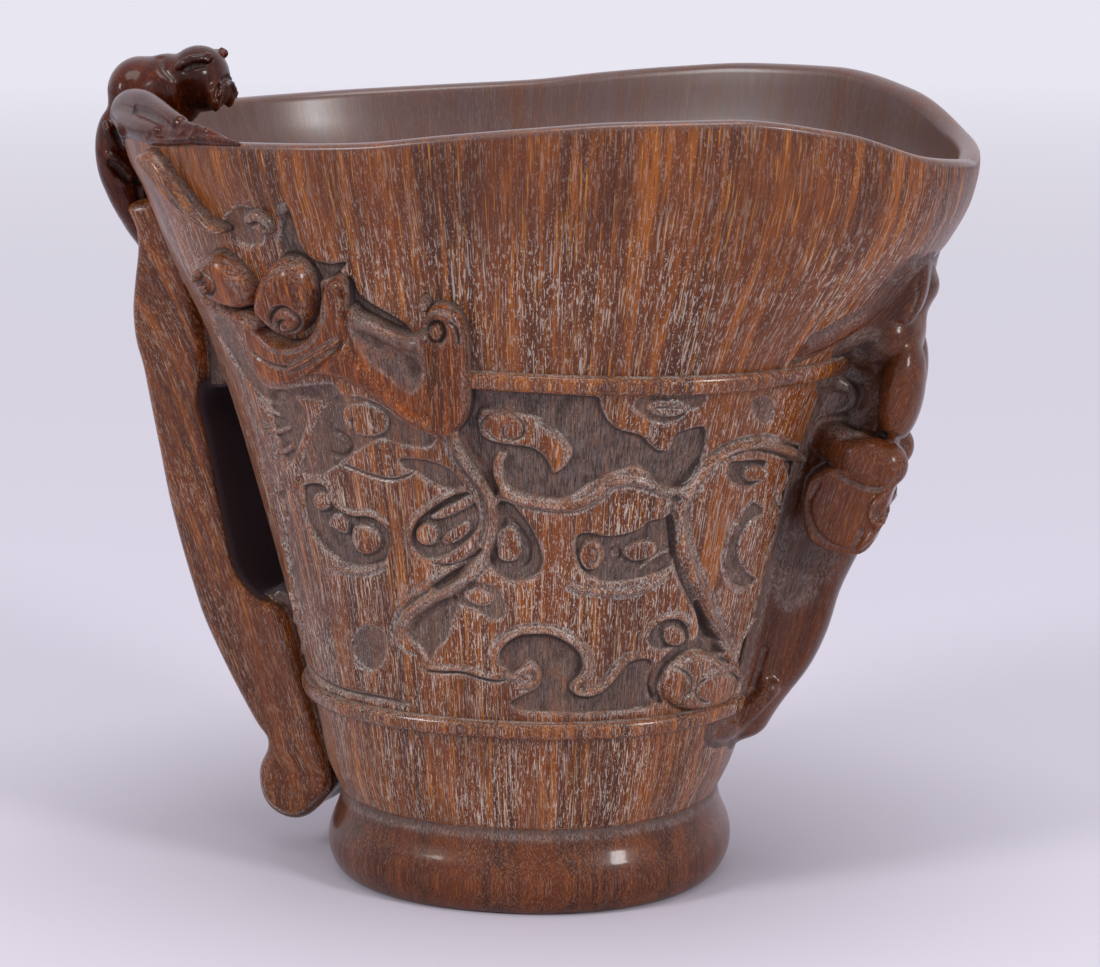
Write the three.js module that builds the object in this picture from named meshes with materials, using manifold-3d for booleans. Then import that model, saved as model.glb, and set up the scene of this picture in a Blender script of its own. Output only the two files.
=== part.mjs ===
// A carved libation cup: a footed, flaring bowl with a lobed lip and a spout,
// a pierced strap handle, and chi dragons on its lip, its sides and its spout.
// Millimetres, Z up. The origin is under the middle of the foot. The spout points
// along +X and the handle along -X. The -Y side is called near, the +Y side far.
import * as THREE from 'three';
import { mergeVertices } from 'three/addons/utils/BufferGeometryUtils.js';
import Module from 'manifold-3d';

const wasm = await Module();
wasm.setup();

// Gap between touching pieces
const SEAM = 0.3;

// Bowl, measured from its upright middle line
const NECK_HALF_LENGTH = 26.6;
const NECK_HALF_WIDTH = 25.3;
const SPOUT_REACH = 61.3;
const HANDLE_LIP_REACH = 57;
const LIP_HALF_WIDTH = 44;
const LIP_HEIGHT = 109.3;
const LIP_DIP = 8.3;
const LIP_WALL = 3;
const LIP_ROUND = 1.3;
const FLOOR_WALL = 5;
const FLOOR_HEIGHT = 21;
const FLOOR_ROUND = 7;
const SECTION_POWER = 2.15;
const TURN_STEPS = 48;

// Foot ring
const FOOT_HEIGHT = 12;
const FOOT_BULGE = 1.4;
const FOOT_REST_INSET = 0.4;
const FOOT_RIM = 6;
const FOOT_HOLLOW_DEPTH = 4;

// Raised bands round the bowl
const BAND_HEIGHT = 2.5;
const BAND_RELIEF = 1.3;
const LOWER_BAND_HEIGHT = 26.5;
const UPPER_BAND_RISE_SHARE = 0.6485;
const UPPER_BAND_DROP = 1.2;

// Frieze between the bands: how deep its ground is sunk, how far its boss stands out
// and how far the blocks that shape them reach through the wall
const FRIEZE_DEPTH = 0.75;
const FRIEZE_BOSS_RELIEF = 0.9;
const FRIEZE_OVERRUN = 6;

// Strap handle
const HANDLE_WIDTH = 16;
const HANDLE_WEB_WIDTH = 11;
const HANDLE_STANDOFF = 14;
const HANDLE_TOP_BELOW_LIP = 16.3;
const HANDLE_EDGE_ROUND = 1.6;

// Dragon that climbs over the lip above the handle
const LIP_DRAGON_OVERHANG = 4.4;
const LIP_DRAGON_RISE = 4.3;
const LIP_DRAGON_LENGTH = 26;
const LIP_DRAGON_HEIGHT = 28;
const LIP_DRAGON_HALF_WIDTH = 18;
const LIP_DRAGON_GIRTH = 6;

// Dragon on each side of the bowl, at the handle end of the upper band
const SIDE_DRAGON_RELIEF = 4;
const SIDE_DRAGON_GIRTH = 3;

// Dragon under the spout
const SPOUT_DRAGON_RELIEF = 6;
const SPOUT_DRAGON_GIRTH = 6;

// Shares of the bowl's rise, and of the way from the neck's reach to the lip's
// reach at the spout, at the handle and at the sides
const BOWL_SHARES = [
  [0, 0, 0, 0],
  [0.038, 0.049, 0.052, 0.048],
  [0.1, 0.104, 0.092, 0.086],
  [0.224, 0.184, 0.19, 0.166],
  [0.389, 0.294, 0.327, 0.289],
  [0.636, 0.519, 0.562, 0.54],
  [0.76, 0.798, 0.748, 0.69],
  [0.8, 0.89, 0.8, 0.745],
  [0.86, 0.974, 0.875, 0.83],
  [0.904, 0.997, 0.941, 0.909],
  [1, 1, 1, 1],
];

// Shares of half a turn from the spout, and of the lip's dip below its highest point
const LIP_SHARES = [
  [0, 1],
  [0.083, 0.76],
  [0.167, 0.24],
  [0.25, 0],
  [0.333, 0.02],
  [0.417, 0.13],
  [0.5, 0.27],
  [0.583, 0.43],
  [0.667, 0.51],
  [0.75, 0.57],
  [0.833, 0.61],
  [1, 0.63],
];

const NECK_BASE = FOOT_HEIGHT + SEAM;
const BOWL_RISE = LIP_HEIGHT - NECK_BASE;

// Smooth curve through a table's first column and one other, with no overshoot
function smoothShare(table, column, at) {
  const last = table.length - 1;
  const x = Math.min(Math.max(at, table[0][0]), table[last][0]);
  const slopes = table.slice(1).map((row, i) => (row[column] - table[i][column]) / (row[0] - table[i][0]));
  const lean = (i) => {
    if (i === 0) return slopes[0];
    if (i === last) return slopes[last - 1];
    const product = slopes[i - 1] * slopes[i];
    return product <= 0 ? 0 : (2 * product) / (slopes[i - 1] + slopes[i]);
  };
  const k = Math.max(0, Math.min(last - 1, table.findIndex((row) => row[0] >= x) - 1));
  const span = table[k + 1][0] - table[k][0];
  const t = (x - table[k][0]) / span;
  const start = (1 + 2 * t) * (1 - t) ** 2 * table[k][column] + t * (1 - t) ** 2 * span * lean(k);
  return start + t * t * (3 - 2 * t) * table[k + 1][column] - t * t * (1 - t) * span * lean(k + 1);
}

// Height of the lip at an angle from the spout
function lipHeight(angle) {
  const halfTurnShare = Math.abs(Math.atan2(Math.sin(angle), Math.cos(angle))) / Math.PI;
  return LIP_HEIGHT - LIP_DIP * smoothShare(LIP_SHARES, 1, halfTurnShare);
}

// Point of the bowl's outer wall, with its reach grown by a length
function wallPoint(angle, height, grow = 0) {
  const rise = (height - NECK_BASE) / BOWL_RISE;
  const lipReach = Math.cos(angle) > 0 ? SPOUT_REACH : HANDLE_LIP_REACH;
  const column = Math.cos(angle) > 0 ? 1 : 2;
  const along = NECK_HALF_LENGTH + (lipReach - NECK_HALF_LENGTH) * smoothShare(BOWL_SHARES, column, rise);
  const across = NECK_HALF_WIDTH + (LIP_HALF_WIDTH - NECK_HALF_WIDTH) * smoothShare(BOWL_SHARES, 3, rise);
  const x = Math.abs(Math.cos(angle) / (along + grow)) ** SECTION_POWER;
  const y = Math.abs(Math.sin(angle) / (across + grow)) ** SECTION_POWER;
  const reach = (x + y) ** (-1 / SECTION_POWER);
  return new THREE.Vector3(reach * Math.cos(angle), reach * Math.sin(angle), height);
}

// Outward direction of the bowl's outer wall
function wallNormal(angle, height) {
  const turn = Math.PI / TURN_STEPS;
  const along = wallPoint(angle + turn, height).sub(wallPoint(angle - turn, height));
  const up = wallPoint(angle, height + SEAM).sub(wallPoint(angle, height - SEAM));
  return along.cross(up).normalize();
}

// Point at a distance off the bowl's outer wall
function offWall(angle, height, lift) {
  return wallPoint(angle, height).addScaledVector(wallNormal(angle, height), lift);
}

// Solid from a closed geometry
function solid(geometry) {
  const bare = geometry.clone();
  bare.deleteAttribute('normal');
  bare.deleteAttribute('uv');
  const merged = mergeVertices(bare);
  const vertProperties = new Float32Array(merged.attributes.position.array);
  const triVerts = new Uint32Array(merged.index.array);
  return new wasm.Manifold(new wasm.Mesh({ numProp: 3, vertProperties, triVerts }));
}

// Takes solids away from a body
const without = (body, ...cutters) => cutters.reduce((left, cutter) => left.subtract(cutter), body);

// Geometry from a solid
function geometryOf(body) {
  const mesh = body.getMesh();
  const geometry = new THREE.BufferGeometry();
  geometry.setAttribute('position', new THREE.BufferAttribute(mesh.vertProperties, 3));
  geometry.setIndex(new THREE.BufferAttribute(mesh.triVerts, 1));
  geometry.computeVertexNormals();
  return geometry;
}

function indexedGeometry(points, faces) {
  const geometry = new THREE.BufferGeometry();
  const places = points.flatMap((point) => point.toArray());
  geometry.setAttribute('position', new THREE.Float32BufferAttribute(places, 3));
  geometry.setIndex(faces);
  return geometry;
}

// Skin over rings of points. The rings run from one end to the other, each one
// anticlockwise seen from the far end, and close at both ends or on themselves.
function skin(rings, closesOnItself = false) {
  const count = rings[0].length;
  const points = rings.flat();
  const faces = [];
  const spans = closesOnItself ? rings.length : rings.length - 1;
  for (let j = 0; j < spans; j += 1) {
    const here = j * count;
    const next = ((j + 1) % rings.length) * count;
    for (let i = 0; i < count; i += 1) {
      const k = (i + 1) % count;
      faces.push(here + i, here + k, next + k, here + i, next + k, next + i);
    }
  }
  if (!closesOnItself) {
    for (const [ring, back] of [[0, true], [rings.length - 1, false]]) {
      const middle = rings[ring].reduce((sum, p) => sum.add(p), new THREE.Vector3()).divideScalar(count);
      const centre = points.push(middle) - 1;
      for (let i = 0; i < count; i += 1) {
        const a = ring * count + i;
        const b = ring * count + ((i + 1) % count);
        faces.push(centre, back ? b : a, back ? a : b);
      }
    }
  }
  return indexedGeometry(points, faces);
}

const TURNS = Array.from({ length: TURN_STEPS }, (_, i) => (2 * Math.PI * i) / TURN_STEPS);

// Bowl with its hollow, grown on every side by a length
const WALL_ROW_SHARES = [0, 0.04, 0.12, 0.24, 0.38, 0.52, 0.65, 0.74, 0.81, 0.87, 0.94];
const HOLLOW_ROW_SHARES = [0.95, 0.86, 0.77, 0.66, 0.5, 0.3, 0.12, 0];
const FLOOR_SHARES = [[0.93, 0.45], [0.8, 0.12], [0.5, 0]];

function bowl(grow = 0) {
  const outerRow = (share) => TURNS.map((angle) => {
    const top = lipHeight(angle) - LIP_ROUND;
    const point = wallPoint(angle, NECK_BASE + (top - NECK_BASE) * share, grow);
    return share === 0 ? point.setZ(NECK_BASE - grow) : point;
  });
  const lipRow = (insetShare, dropShare) => TURNS.map((angle) => {
    const height = lipHeight(angle) - LIP_ROUND * dropShare;
    return wallPoint(angle, height, grow - (LIP_WALL + 2 * grow) * insetShare).setZ(height + grow);
  });
  const hollowBase = FLOOR_HEIGHT + FLOOR_ROUND;
  const innerRow = (share) => TURNS.map((angle) => {
    const top = lipHeight(angle) - LIP_ROUND;
    const wall = FLOOR_WALL + (LIP_WALL - FLOOR_WALL) * share;
    return wallPoint(angle, hollowBase + (top - hollowBase) * share, -wall - grow);
  });
  const floorRow = ([reachShare, riseShare]) => TURNS.map((angle) => {
    const edge = wallPoint(angle, hollowBase, -FLOOR_WALL - grow);
    const height = FLOOR_HEIGHT + grow + (FLOOR_ROUND - grow) * riseShare;
    return new THREE.Vector3(edge.x * reachShare, edge.y * reachShare, height);
  });
  return solid(skin([
    ...WALL_ROW_SHARES.map(outerRow),
    outerRow(1),
    lipRow(0.15, 0.3),
    lipRow(0.5, 0),
    lipRow(0.85, 0.3),
    ...HOLLOW_ROW_SHARES.map(innerRow),
    ...FLOOR_SHARES.map(floorRow),
  ]));
}

// The bowl's outside as a filled block, to trim what sits on its wall
function bowlBlock(grow) {
  const rows = [...WALL_ROW_SHARES, 1].map((share) => TURNS.map((angle) => {
    const height = NECK_BASE + (lipHeight(angle) - NECK_BASE) * share;
    return wallPoint(angle, height, grow);
  }));
  const base = TURNS.map((angle) => wallPoint(angle, NECK_BASE, grow).setZ(NECK_BASE - grow));
  return solid(skin([base, ...rows.slice(1)]));
}

// Sunk grounds of the frieze, each with a share of its depth and an outline. A spot
// of an outline is an angle from the spout in degrees and a share of the bowl's rise.
const GROUND_SHARES = [
  [1, [
    [87, 0.633], [74, 0.63], [61, 0.624], [60, 0.6], [56, 0.577], [50, 0.555], [46, 0.544],
    [45, 0.57], [40, 0.575], [39, 0.534], [41, 0.497], [45, 0.489], [48, 0.507], [54, 0.523],
    [60, 0.505], [68, 0.48], [77, 0.485], [83, 0.485], [88, 0.52], [91, 0.57], [90, 0.61],
  ]],
  [1, [[83, 0.47], [78, 0.467], [74, 0.433], [72, 0.385], [77, 0.361], [84, 0.372], [85, 0.42]]],
  [1, [
    [64, 0.428], [57, 0.426], [50, 0.434], [43, 0.45], [41, 0.384], [47, 0.365], [56, 0.359],
    [62, 0.376], [64, 0.4],
  ]],
  [0.55, [[54, 0.609], [48, 0.63], [42, 0.633], [41, 0.604], [46, 0.585], [51, 0.59]]],
  [1, [
    [134, 0.462], [129, 0.475], [125, 0.449], [120, 0.435], [113, 0.434], [110, 0.407],
    [113, 0.375], [121, 0.364], [130, 0.378], [135, 0.42],
  ]],
  [1, [[89, 0.485], [87, 0.45], [91, 0.412], [100, 0.385], [104, 0.402], [104, 0.433], [98, 0.462]]],
  [0.55, [
    [109, 0.279], [107, 0.301], [98, 0.329], [93, 0.322], [95, 0.298], [99, 0.26], [102, 0.237],
    [106, 0.258],
  ]],
  [0.85, [
    [83, 0.241], [82, 0.265], [77, 0.285], [70, 0.285], [64, 0.268], [61, 0.237], [64, 0.208],
    [57, 0.196], [52, 0.23], [47, 0.244], [43, 0.225], [42, 0.185], [44, 0.176], [56, 0.173],
    [70, 0.174], [79, 0.183], [75, 0.2], [73, 0.235], [78, 0.236],
  ]],
  [0.85, [[46, 0.273], [43, 0.296], [37, 0.295], [34, 0.268], [39, 0.256], [44, 0.262]]],
  [0.7, [
    [24, 0.454], [20, 0.44], [24, 0.415], [25, 0.39], [20, 0.349], [19, 0.33], [26, 0.35],
    [28, 0.385], [27, 0.42],
  ]],
  [0.55, [
    [133, 0.491], [126, 0.555], [119, 0.606], [108, 0.604], [99, 0.571], [97, 0.55],
    [108, 0.552], [118, 0.525], [127, 0.49],
  ]],
  [0.55, [[137, 0.595], [130, 0.597], [128, 0.56], [132, 0.53], [137, 0.5], [139, 0.54]]],
];

// Scrolls left standing in the sunk grounds
const SCROLL_SHARES = [
  [
    [86, 0.603], [79, 0.602], [73, 0.592], [67, 0.565], [67, 0.535], [70, 0.516], [73, 0.545],
    [78, 0.555], [84, 0.562],
  ],
  [[82, 0.435], [78, 0.43], [77, 0.4], [80, 0.388], [83, 0.405]],
  [[63, 0.411], [59, 0.415], [59, 0.382], [62, 0.384]],
  [[53, 0.402], [49, 0.418], [45, 0.405], [49, 0.39]],
  [[129, 0.462], [125, 0.458], [127, 0.437], [131, 0.444]],
  [[120, 0.422], [114, 0.421], [114, 0.392], [120, 0.389]],
  [[89, 0.476], [95, 0.449], [99, 0.446], [93, 0.468]],
  [[100, 0.437], [97, 0.422], [101, 0.405], [103, 0.42]],
  [[116, 0.596], [109, 0.598], [107, 0.575], [113, 0.557], [118, 0.573]],
];

// Curled boss beside the foot of the spout dragon
const BOSS_SHARES = [
  [40, 0.215], [36, 0.243], [28, 0.237], [20, 0.215], [15, 0.19], [20, 0.178], [30, 0.175], [38, 0.19],
];

const OUTLINE_STEPS_PER_SPOT = 2;

// Block through the bowl's wall within an outline on it
function wallPatch(outlineShares, side) {
  const spots = outlineShares.map(([degrees, riseShare]) => (
    new THREE.Vector3(side * degrees, BOWL_RISE * riseShare)));
  const loop = new THREE.CatmullRomCurve3(spots, true, 'centripetal');
  const outline = loop.getPoints(OUTLINE_STEPS_PER_SPOT * spots.length).slice(1);
  if (THREE.ShapeUtils.isClockWise(outline)) outline.reverse();
  const ring = (lift) => outline.map(({ x, y }) => (
    offWall(THREE.MathUtils.degToRad(x), NECK_BASE + y, lift)));
  const count = outline.length;
  const caps = THREE.ShapeUtils.triangulateShape(outline, []);
  const faces = outline.flatMap((_, i) => {
    const k = (i + 1) % count;
    return [i, k, count + k, i, count + k, count + i];
  });
  for (const [a, b, c] of caps) faces.push(c, b, a, count + a, count + b, count + c);
  return solid(indexedGeometry([...ring(-FRIEZE_OVERRUN), ...ring(FRIEZE_OVERRUN)], faces));
}

// Bowl with the frieze carved into both its sides
function carvedBowl() {
  let body = bowl();
  const bossRoot = bowlBlock(-FRIEZE_DEPTH);
  const bossTop = bowlBlock(FRIEZE_BOSS_RELIEF);
  for (const side of [-1, 1]) {
    const scrolls = SCROLL_SHARES.map((outline) => wallPatch(outline, side));
    for (const [depthShare, outline] of GROUND_SHARES) {
      const floor = bowlBlock(-FRIEZE_DEPTH * depthShare);
      body = body.subtract(without(wallPatch(outline, side), floor, ...scrolls));
    }
    body = body.add(without(wallPatch(BOSS_SHARES, side).intersect(bossTop), bossRoot, LOWER_BAND));
  }
  return body;
}

// Foot ring with a shallow hollow under it and a flat rim to stand on. Each row
// has a share of the foot's height and a share of its bulge past the neck.
const FOOT_SHARES = [
  [0.07, 0.35],
  [0.2, 0.85],
  [0.4, 1],
  [0.55, 0.7],
  [0.68, 0.1],
  [0.8, 0.2],
  [0.92, 0.15],
  [1, -0.1],
];

function footRing(grow = 0) {
  const row = (height, reach) => TURNS.map((angle) => wallPoint(angle, NECK_BASE, reach).setZ(height));
  const restReach = -FOOT_REST_INSET;
  return solid(skin([
    row(FOOT_HOLLOW_DEPTH, restReach - FOOT_RIM - FOOT_HOLLOW_DEPTH / 2),
    row(0, restReach - FOOT_RIM),
    row(0, restReach + grow),
    ...FOOT_SHARES.map(([up, out]) => row(FOOT_HEIGHT * up, FOOT_BULGE * out + grow)),
    row(FOOT_HEIGHT + grow, grow - FOOT_BULGE / 2),
  ]));
}

// Raised band: a small rounded section carried round the wall
const BAND_SECTION_SHARES = [[0, -0.5], [0.8, -0.45], [1, 0], [0.8, 0.45], [0, 0.5]];

function band(heightAt, grow = 0) {
  const section = (angle) => BAND_SECTION_SHARES.map(([outShare, upShare]) => {
    const height = heightAt(angle) + (BAND_HEIGHT + 2 * grow) * upShare;
    return offWall(angle, height, (BAND_RELIEF + SEAM + 2 * grow) * outShare - SEAM - grow);
  });
  return solid(skin(TURNS.map(section).map((ring) => ring.reverse()), true));
}

const lowerBandHeight = () => LOWER_BAND_HEIGHT;
const upperBandHeight = (angle) => (
  NECK_BASE + BOWL_RISE * UPPER_BAND_RISE_SHARE - UPPER_BAND_DROP * Math.cos(angle));

const HANDLE_TOP = LIP_HEIGHT - HANDLE_TOP_BELOW_LIP;

// Flat outline in the plane of handle and spout, made as thick as a width with
// rounded edges. A spot is a share of the handle's standoff from the bowl's wall and
// a share of its height.
function plate(outlineShares, width) {
  const spots = outlineShares.map(([standoffShare, heightShare]) => {
    const height = HANDLE_TOP * heightShare;
    return new THREE.Vector3(wallPoint(Math.PI, height).x - HANDLE_STANDOFF * standoffShare, height);
  });
  const loop = new THREE.CatmullRomCurve3(spots, true, 'centripetal');
  const shape = new THREE.Shape(loop.getPoints(OUTLINE_STEPS_PER_SPOT * spots.length).slice(1));
  const geometry = new THREE.ExtrudeGeometry(shape, {
    depth: width - 2 * HANDLE_EDGE_ROUND,
    bevelThickness: HANDLE_EDGE_ROUND,
    bevelSize: HANDLE_EDGE_ROUND,
    bevelOffset: -HANDLE_EDGE_ROUND,
    bevelSegments: 2,
  });
  geometry.translate(0, 0, HANDLE_EDGE_ROUND - width / 2);
  geometry.rotateX(Math.PI / 2);
  return solid(geometry);
}

// Limb: an oval section carried along a curve. A stop holds a point, the half
// width across the surface, the half depth off it and the outward direction.
const LIMB_SIDES = 8;
const LIMB_STEPS_PER_SPAN = 2;
const TIP_SHARES = [[0.72, 0.55], [0.3, 0.85]];

function limb(stops, grow = 0) {
  const path = new THREE.CatmullRomCurve3(stops.map((stop) => stop.point), false, 'centripetal');
  const steps = (stops.length - 1) * LIMB_STEPS_PER_SPAN;
  const blend = (key, share) => {
    const place = share * (stops.length - 1);
    const k = Math.min(Math.floor(place), stops.length - 2);
    const t = place - k;
    if (key === 'out') return stops[k].out.clone().lerp(stops[k + 1].out, t).normalize();
    return stops[k][key] * (1 - t) + stops[k + 1][key] * t;
  };
  const ring = (share, sizeShare, push) => {
    const ahead = path.getTangent(share);
    const across = new THREE.Vector3().crossVectors(ahead, blend('out', share)).normalize();
    const out = new THREE.Vector3().crossVectors(across, ahead).normalize();
    const middle = path.getPoint(share).addScaledVector(ahead, push * (blend('depth', share) + grow));
    return Array.from({ length: LIMB_SIDES }, (_, i) => {
      const angle = (2 * Math.PI * i) / LIMB_SIDES;
      return middle.clone()
        .addScaledVector(across, -Math.cos(angle) * sizeShare * (blend('width', share) + grow))
        .addScaledVector(out, Math.sin(angle) * sizeShare * (blend('depth', share) + grow));
    });
  };
  const rings = Array.from({ length: steps + 1 }, (_, i) => ring(i / steps, 1, 0));
  const start = TIP_SHARES.map(([sizeShare, push]) => ring(0, sizeShare, -push)).reverse();
  const end = TIP_SHARES.map(([sizeShare, push]) => ring(1, sizeShare, push));
  return solid(skin([...start, ...rings, ...end]));
}

const DOME_SIDES = 10;
const DOME_ROWS = 7;

// Rounded mass with its own half sizes, standing on a frame of axes
function dome(point, halfSizes, out, up, grow = 0) {
  const side = new THREE.Vector3().crossVectors(up, out).normalize();
  const rise = new THREE.Vector3().crossVectors(out, side).normalize();
  const geometry = new THREE.SphereGeometry(1, DOME_SIDES, DOME_ROWS);
  geometry.scale(...halfSizes.map((size) => size + grow));
  geometry.applyMatrix4(new THREE.Matrix4().makeBasis(side, rise, out.clone().normalize()));
  geometry.translate(...point.toArray());
  return solid(geometry);
}

const WALL = bowlBlock(SEAM);
const LOWER_BAND = band(lowerBandHeight, SEAM);
const UPPER_BAND = band(upperBandHeight, SEAM);
const FOOT = footRing(SEAM);

// Handle: a strap from the lip dragon down to a rounded end beside the foot, and
// a thinner web that joins it to the bowl above and below the pierced slot
const STRAP_SHARES = [
  [0.07, 1],
  [0.4, 0.93],
  [0.61, 0.87],
  [0.8, 0.8],
  [0.92, 0.69],
  [0.975, 0.575],
  [1, 0.425],
  [0.92, 0.31],
  [0.75, 0.215],
  [0.67, 0.165],
  [0.84, 0.105],
  [0.7, 0.058],
  [0.44, 0.05],
  [0.165, 0.085],
  [0.06, 0.14],
  [0.145, 0.22],
  [0.29, 0.33],
  [0.385, 0.43],
  [0.42, 0.54],
  [0.375, 0.66],
  [0.215, 0.78],
  [0.01, 0.9],
];
const UPPER_WEB_SHARES = [
  [-0.1, 0.98],
  [0.44, 0.8],
  [0.465, 0.72],
  [0.245, 0.72],
  [0.035, 0.735],
  [-0.19, 0.8],
  [-0.35, 0.9],
];
const LOWER_WEB_SHARES = [
  [0.65, 0.4],
  [0.58, 0.3],
  [0.41, 0.2],
  [0.27, 0.15],
  [-0.14, 0.17],
  [-0.18, 0.28],
  [-0.105, 0.375],
  [0.09, 0.4],
  [0.345, 0.415],
];

function handle(grow = 0) {
  const strap = plate(STRAP_SHARES, HANDLE_WIDTH + 2 * grow);
  const webs = [UPPER_WEB_SHARES, LOWER_WEB_SHARES].map((shares) => (
    plate(shares, HANDLE_WEB_WIDTH + 2 * grow)));
  return webs.reduce((whole, web) => whole.add(web), strap);
}

// Lip dragon. Places are shares of its length in from its outer end, of its half
// width and of its height.
const UP = new THREE.Vector3(0, 0, 1);
const SPOUT_DIRECTION = new THREE.Vector3(1, 0, 0);

function lipSpot([alongShare, acrossShare, upShare], side = 1) {
  const outerEnd = HANDLE_LIP_REACH + LIP_DRAGON_OVERHANG;
  const top = LIP_HEIGHT + LIP_DRAGON_RISE;
  return new THREE.Vector3(
    LIP_DRAGON_LENGTH * alongShare - outerEnd,
    LIP_DRAGON_HALF_WIDTH * acrossShare * side,
    top - LIP_DRAGON_HEIGHT * (1 - upShare),
  );
}

const lipStop = (side) => ([place, widthShare, depthShare, out]) => ({
  point: lipSpot(place, side),
  width: LIP_DRAGON_GIRTH * widthShare,
  depth: LIP_DRAGON_GIRTH * depthShare,
  out: new THREE.Vector3(out[0], out[1] * side, out[2]).normalize(),
});

const LIP_BODY_SHARES = [
  [[0.22, 0, 0.12], 0.9, 0.6, [-1, 0, 0]],
  [[0.13, 0, 0.34], 1.25, 0.6, [-1, 0, 0.1]],
  [[0.14, 0, 0.56], 1.4, 0.62, [-1, 0, 0.4]],
  [[0.22, 0, 0.74], 1.4, 0.75, [-0.7, 0, 0.7]],
  [[0.38, 0, 0.79], 1.3, 0.88, [0, 0, 1]],
];
const LIP_FORELEG_SHARES = [
  [[0.19, 0.5, 0.55], 0.5, 0.55, [-0.7, 0.7, 0]],
  [[0.29, 0.64, 0.71], 0.5, 0.52, [0, 0.5, 1]],
  [[0.46, 0.74, 0.68], 0.45, 0.45, [0, 0.3, 1]],
  [[0.64, 0.82, 0.625], 0.55, 0.34, [0, 0, 1]],
  [[0.86, 0.88, 0.6], 0.42, 0.22, [0, 0, 1]],
];
const LIP_HEAD_SHARES = { place: [0.58, 0, 0.8], half: [1.12, 0.95, 0.9] };
const LIP_SNOUT_SHARES = { place: [0.74, 0, 0.76], half: [0.85, 0.55, 0.7] };
const LIP_HORN_SHARES = [
  [[0.66, 0.24, 0.94], 0.2, 0.16, [0, 0, 1]],
  [[0.54, 0.28, 0.955], 0.2, 0.16, [0, 0, 1]],
  [[0.42, 0.3, 0.92], 0.16, 0.14, [0, 0, 1]],
];

function lipHead(grow = 0) {
  const part = ({ place, half }) => dome(
    lipSpot(place),
    half.map((share) => LIP_DRAGON_GIRTH * share),
    SPOUT_DIRECTION,
    UP,
    grow,
  );
  const horns = [-1, 1].map((side) => limb(LIP_HORN_SHARES.map(lipStop(side)), grow));
  return horns.reduce((whole, horn) => whole.add(horn), part(LIP_HEAD_SHARES).add(part(LIP_SNOUT_SHARES)));
}

const lipBody = (grow = 0) => limb(LIP_BODY_SHARES.map(lipStop(1)), grow);
const lipForeleg = (side, grow = 0) => limb(LIP_FORELEG_SHARES.map(lipStop(side)), grow);

// Dragons on the wall. Places are an angle from the spout in degrees, a share of
// the bowl's rise and a share of the dragon's relief off the wall.
const wallStop = (relief, girth) => (side) => (
  ([degrees, riseShare, liftShare, widthShare, depthShare]) => {
    const angle = THREE.MathUtils.degToRad(degrees) * side;
    const height = NECK_BASE + BOWL_RISE * riseShare;
    return {
      point: offWall(angle, height, relief * liftShare),
      width: girth * widthShare,
      depth: girth * depthShare,
      out: wallNormal(angle, height),
    };
  });
const sideStop = wallStop(SIDE_DRAGON_RELIEF, SIDE_DRAGON_GIRTH);
const spoutStop = wallStop(SPOUT_DRAGON_RELIEF, SPOUT_DRAGON_GIRTH);

const SIDE_BODY_SHARES = [
  [138, 0.715, 0.35, 1, 0.85],
  [135, 0.665, 0.4, 1, 0.85],
  [128, 0.635, 0.4, 1.05, 0.9],
  [119, 0.665, 0.45, 1.15, 1],
  [110, 0.66, 0.45, 1.15, 1],
  [102, 0.62, 0.4, 1.1, 0.95],
];
const SIDE_HINDLEG_SHARES = [
  [93, 0.735, 0.3, 1, 0.8],
  [91, 0.69, 0.4, 1, 0.9],
  [91, 0.625, 0.35, 1, 0.85],
  [97, 0.575, 0.25, 0.9, 0.7],
];
const SIDE_FORELEG_SHARES = [
  [116, 0.785, 0.3, 0.6, 0.7],
  [115, 0.74, 0.35, 0.65, 0.75],
  [120, 0.7, 0.4, 0.6, 0.75],
  [127, 0.69, 0.35, 0.6, 0.7],
];
const SIDE_HEAD_SHARES = [141, 0.765, 0.35, 1.3, 1.2];
const SIDE_SHOULDER_SHARES = [124.5, 0.765, 0.35, 1.05, 1.15];
const SIDE_HEAD_TALL_SHARE = 1.25;
const SIDE_SHOULDER_TALL_SHARE = 1.7;

const LIP_HINDLEG_SHARES = [
  [166, 0.88, 0.6, 1, 0.9],
  [157, 0.87, 0.45, 0.8, 0.7],
  [148, 0.845, 0.3, 0.5, 0.55],
  [140, 0.825, 0.3, 0.5, 0.5],
  [131, 0.84, 0.25, 0.9, 0.55],
];

const lipHindleg = (side, grow = 0) => limb(LIP_HINDLEG_SHARES.map(sideStop(side)), grow);
const sideBody = (side, grow = 0) => limb(SIDE_BODY_SHARES.map(sideStop(side)), grow);
const sideHindleg = (side, grow = 0) => limb(SIDE_HINDLEG_SHARES.map(sideStop(side)), grow);
const sideForeleg = (side, grow = 0) => limb(SIDE_FORELEG_SHARES.map(sideStop(side)), grow);

function sideDome(shares, tallShare, side, grow = 0) {
  const { point, width, depth, out } = sideStop(side)(shares);
  return dome(point, [width, SIDE_DRAGON_GIRTH * tallShare, depth], out, UP, grow);
}

const sideHead = (side, grow = 0) => sideDome(SIDE_HEAD_SHARES, SIDE_HEAD_TALL_SHARE, side, grow);
const sideShoulder = (side, grow = 0) => (
  sideDome(SIDE_SHOULDER_SHARES, SIDE_SHOULDER_TALL_SHARE, side, grow));

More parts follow.
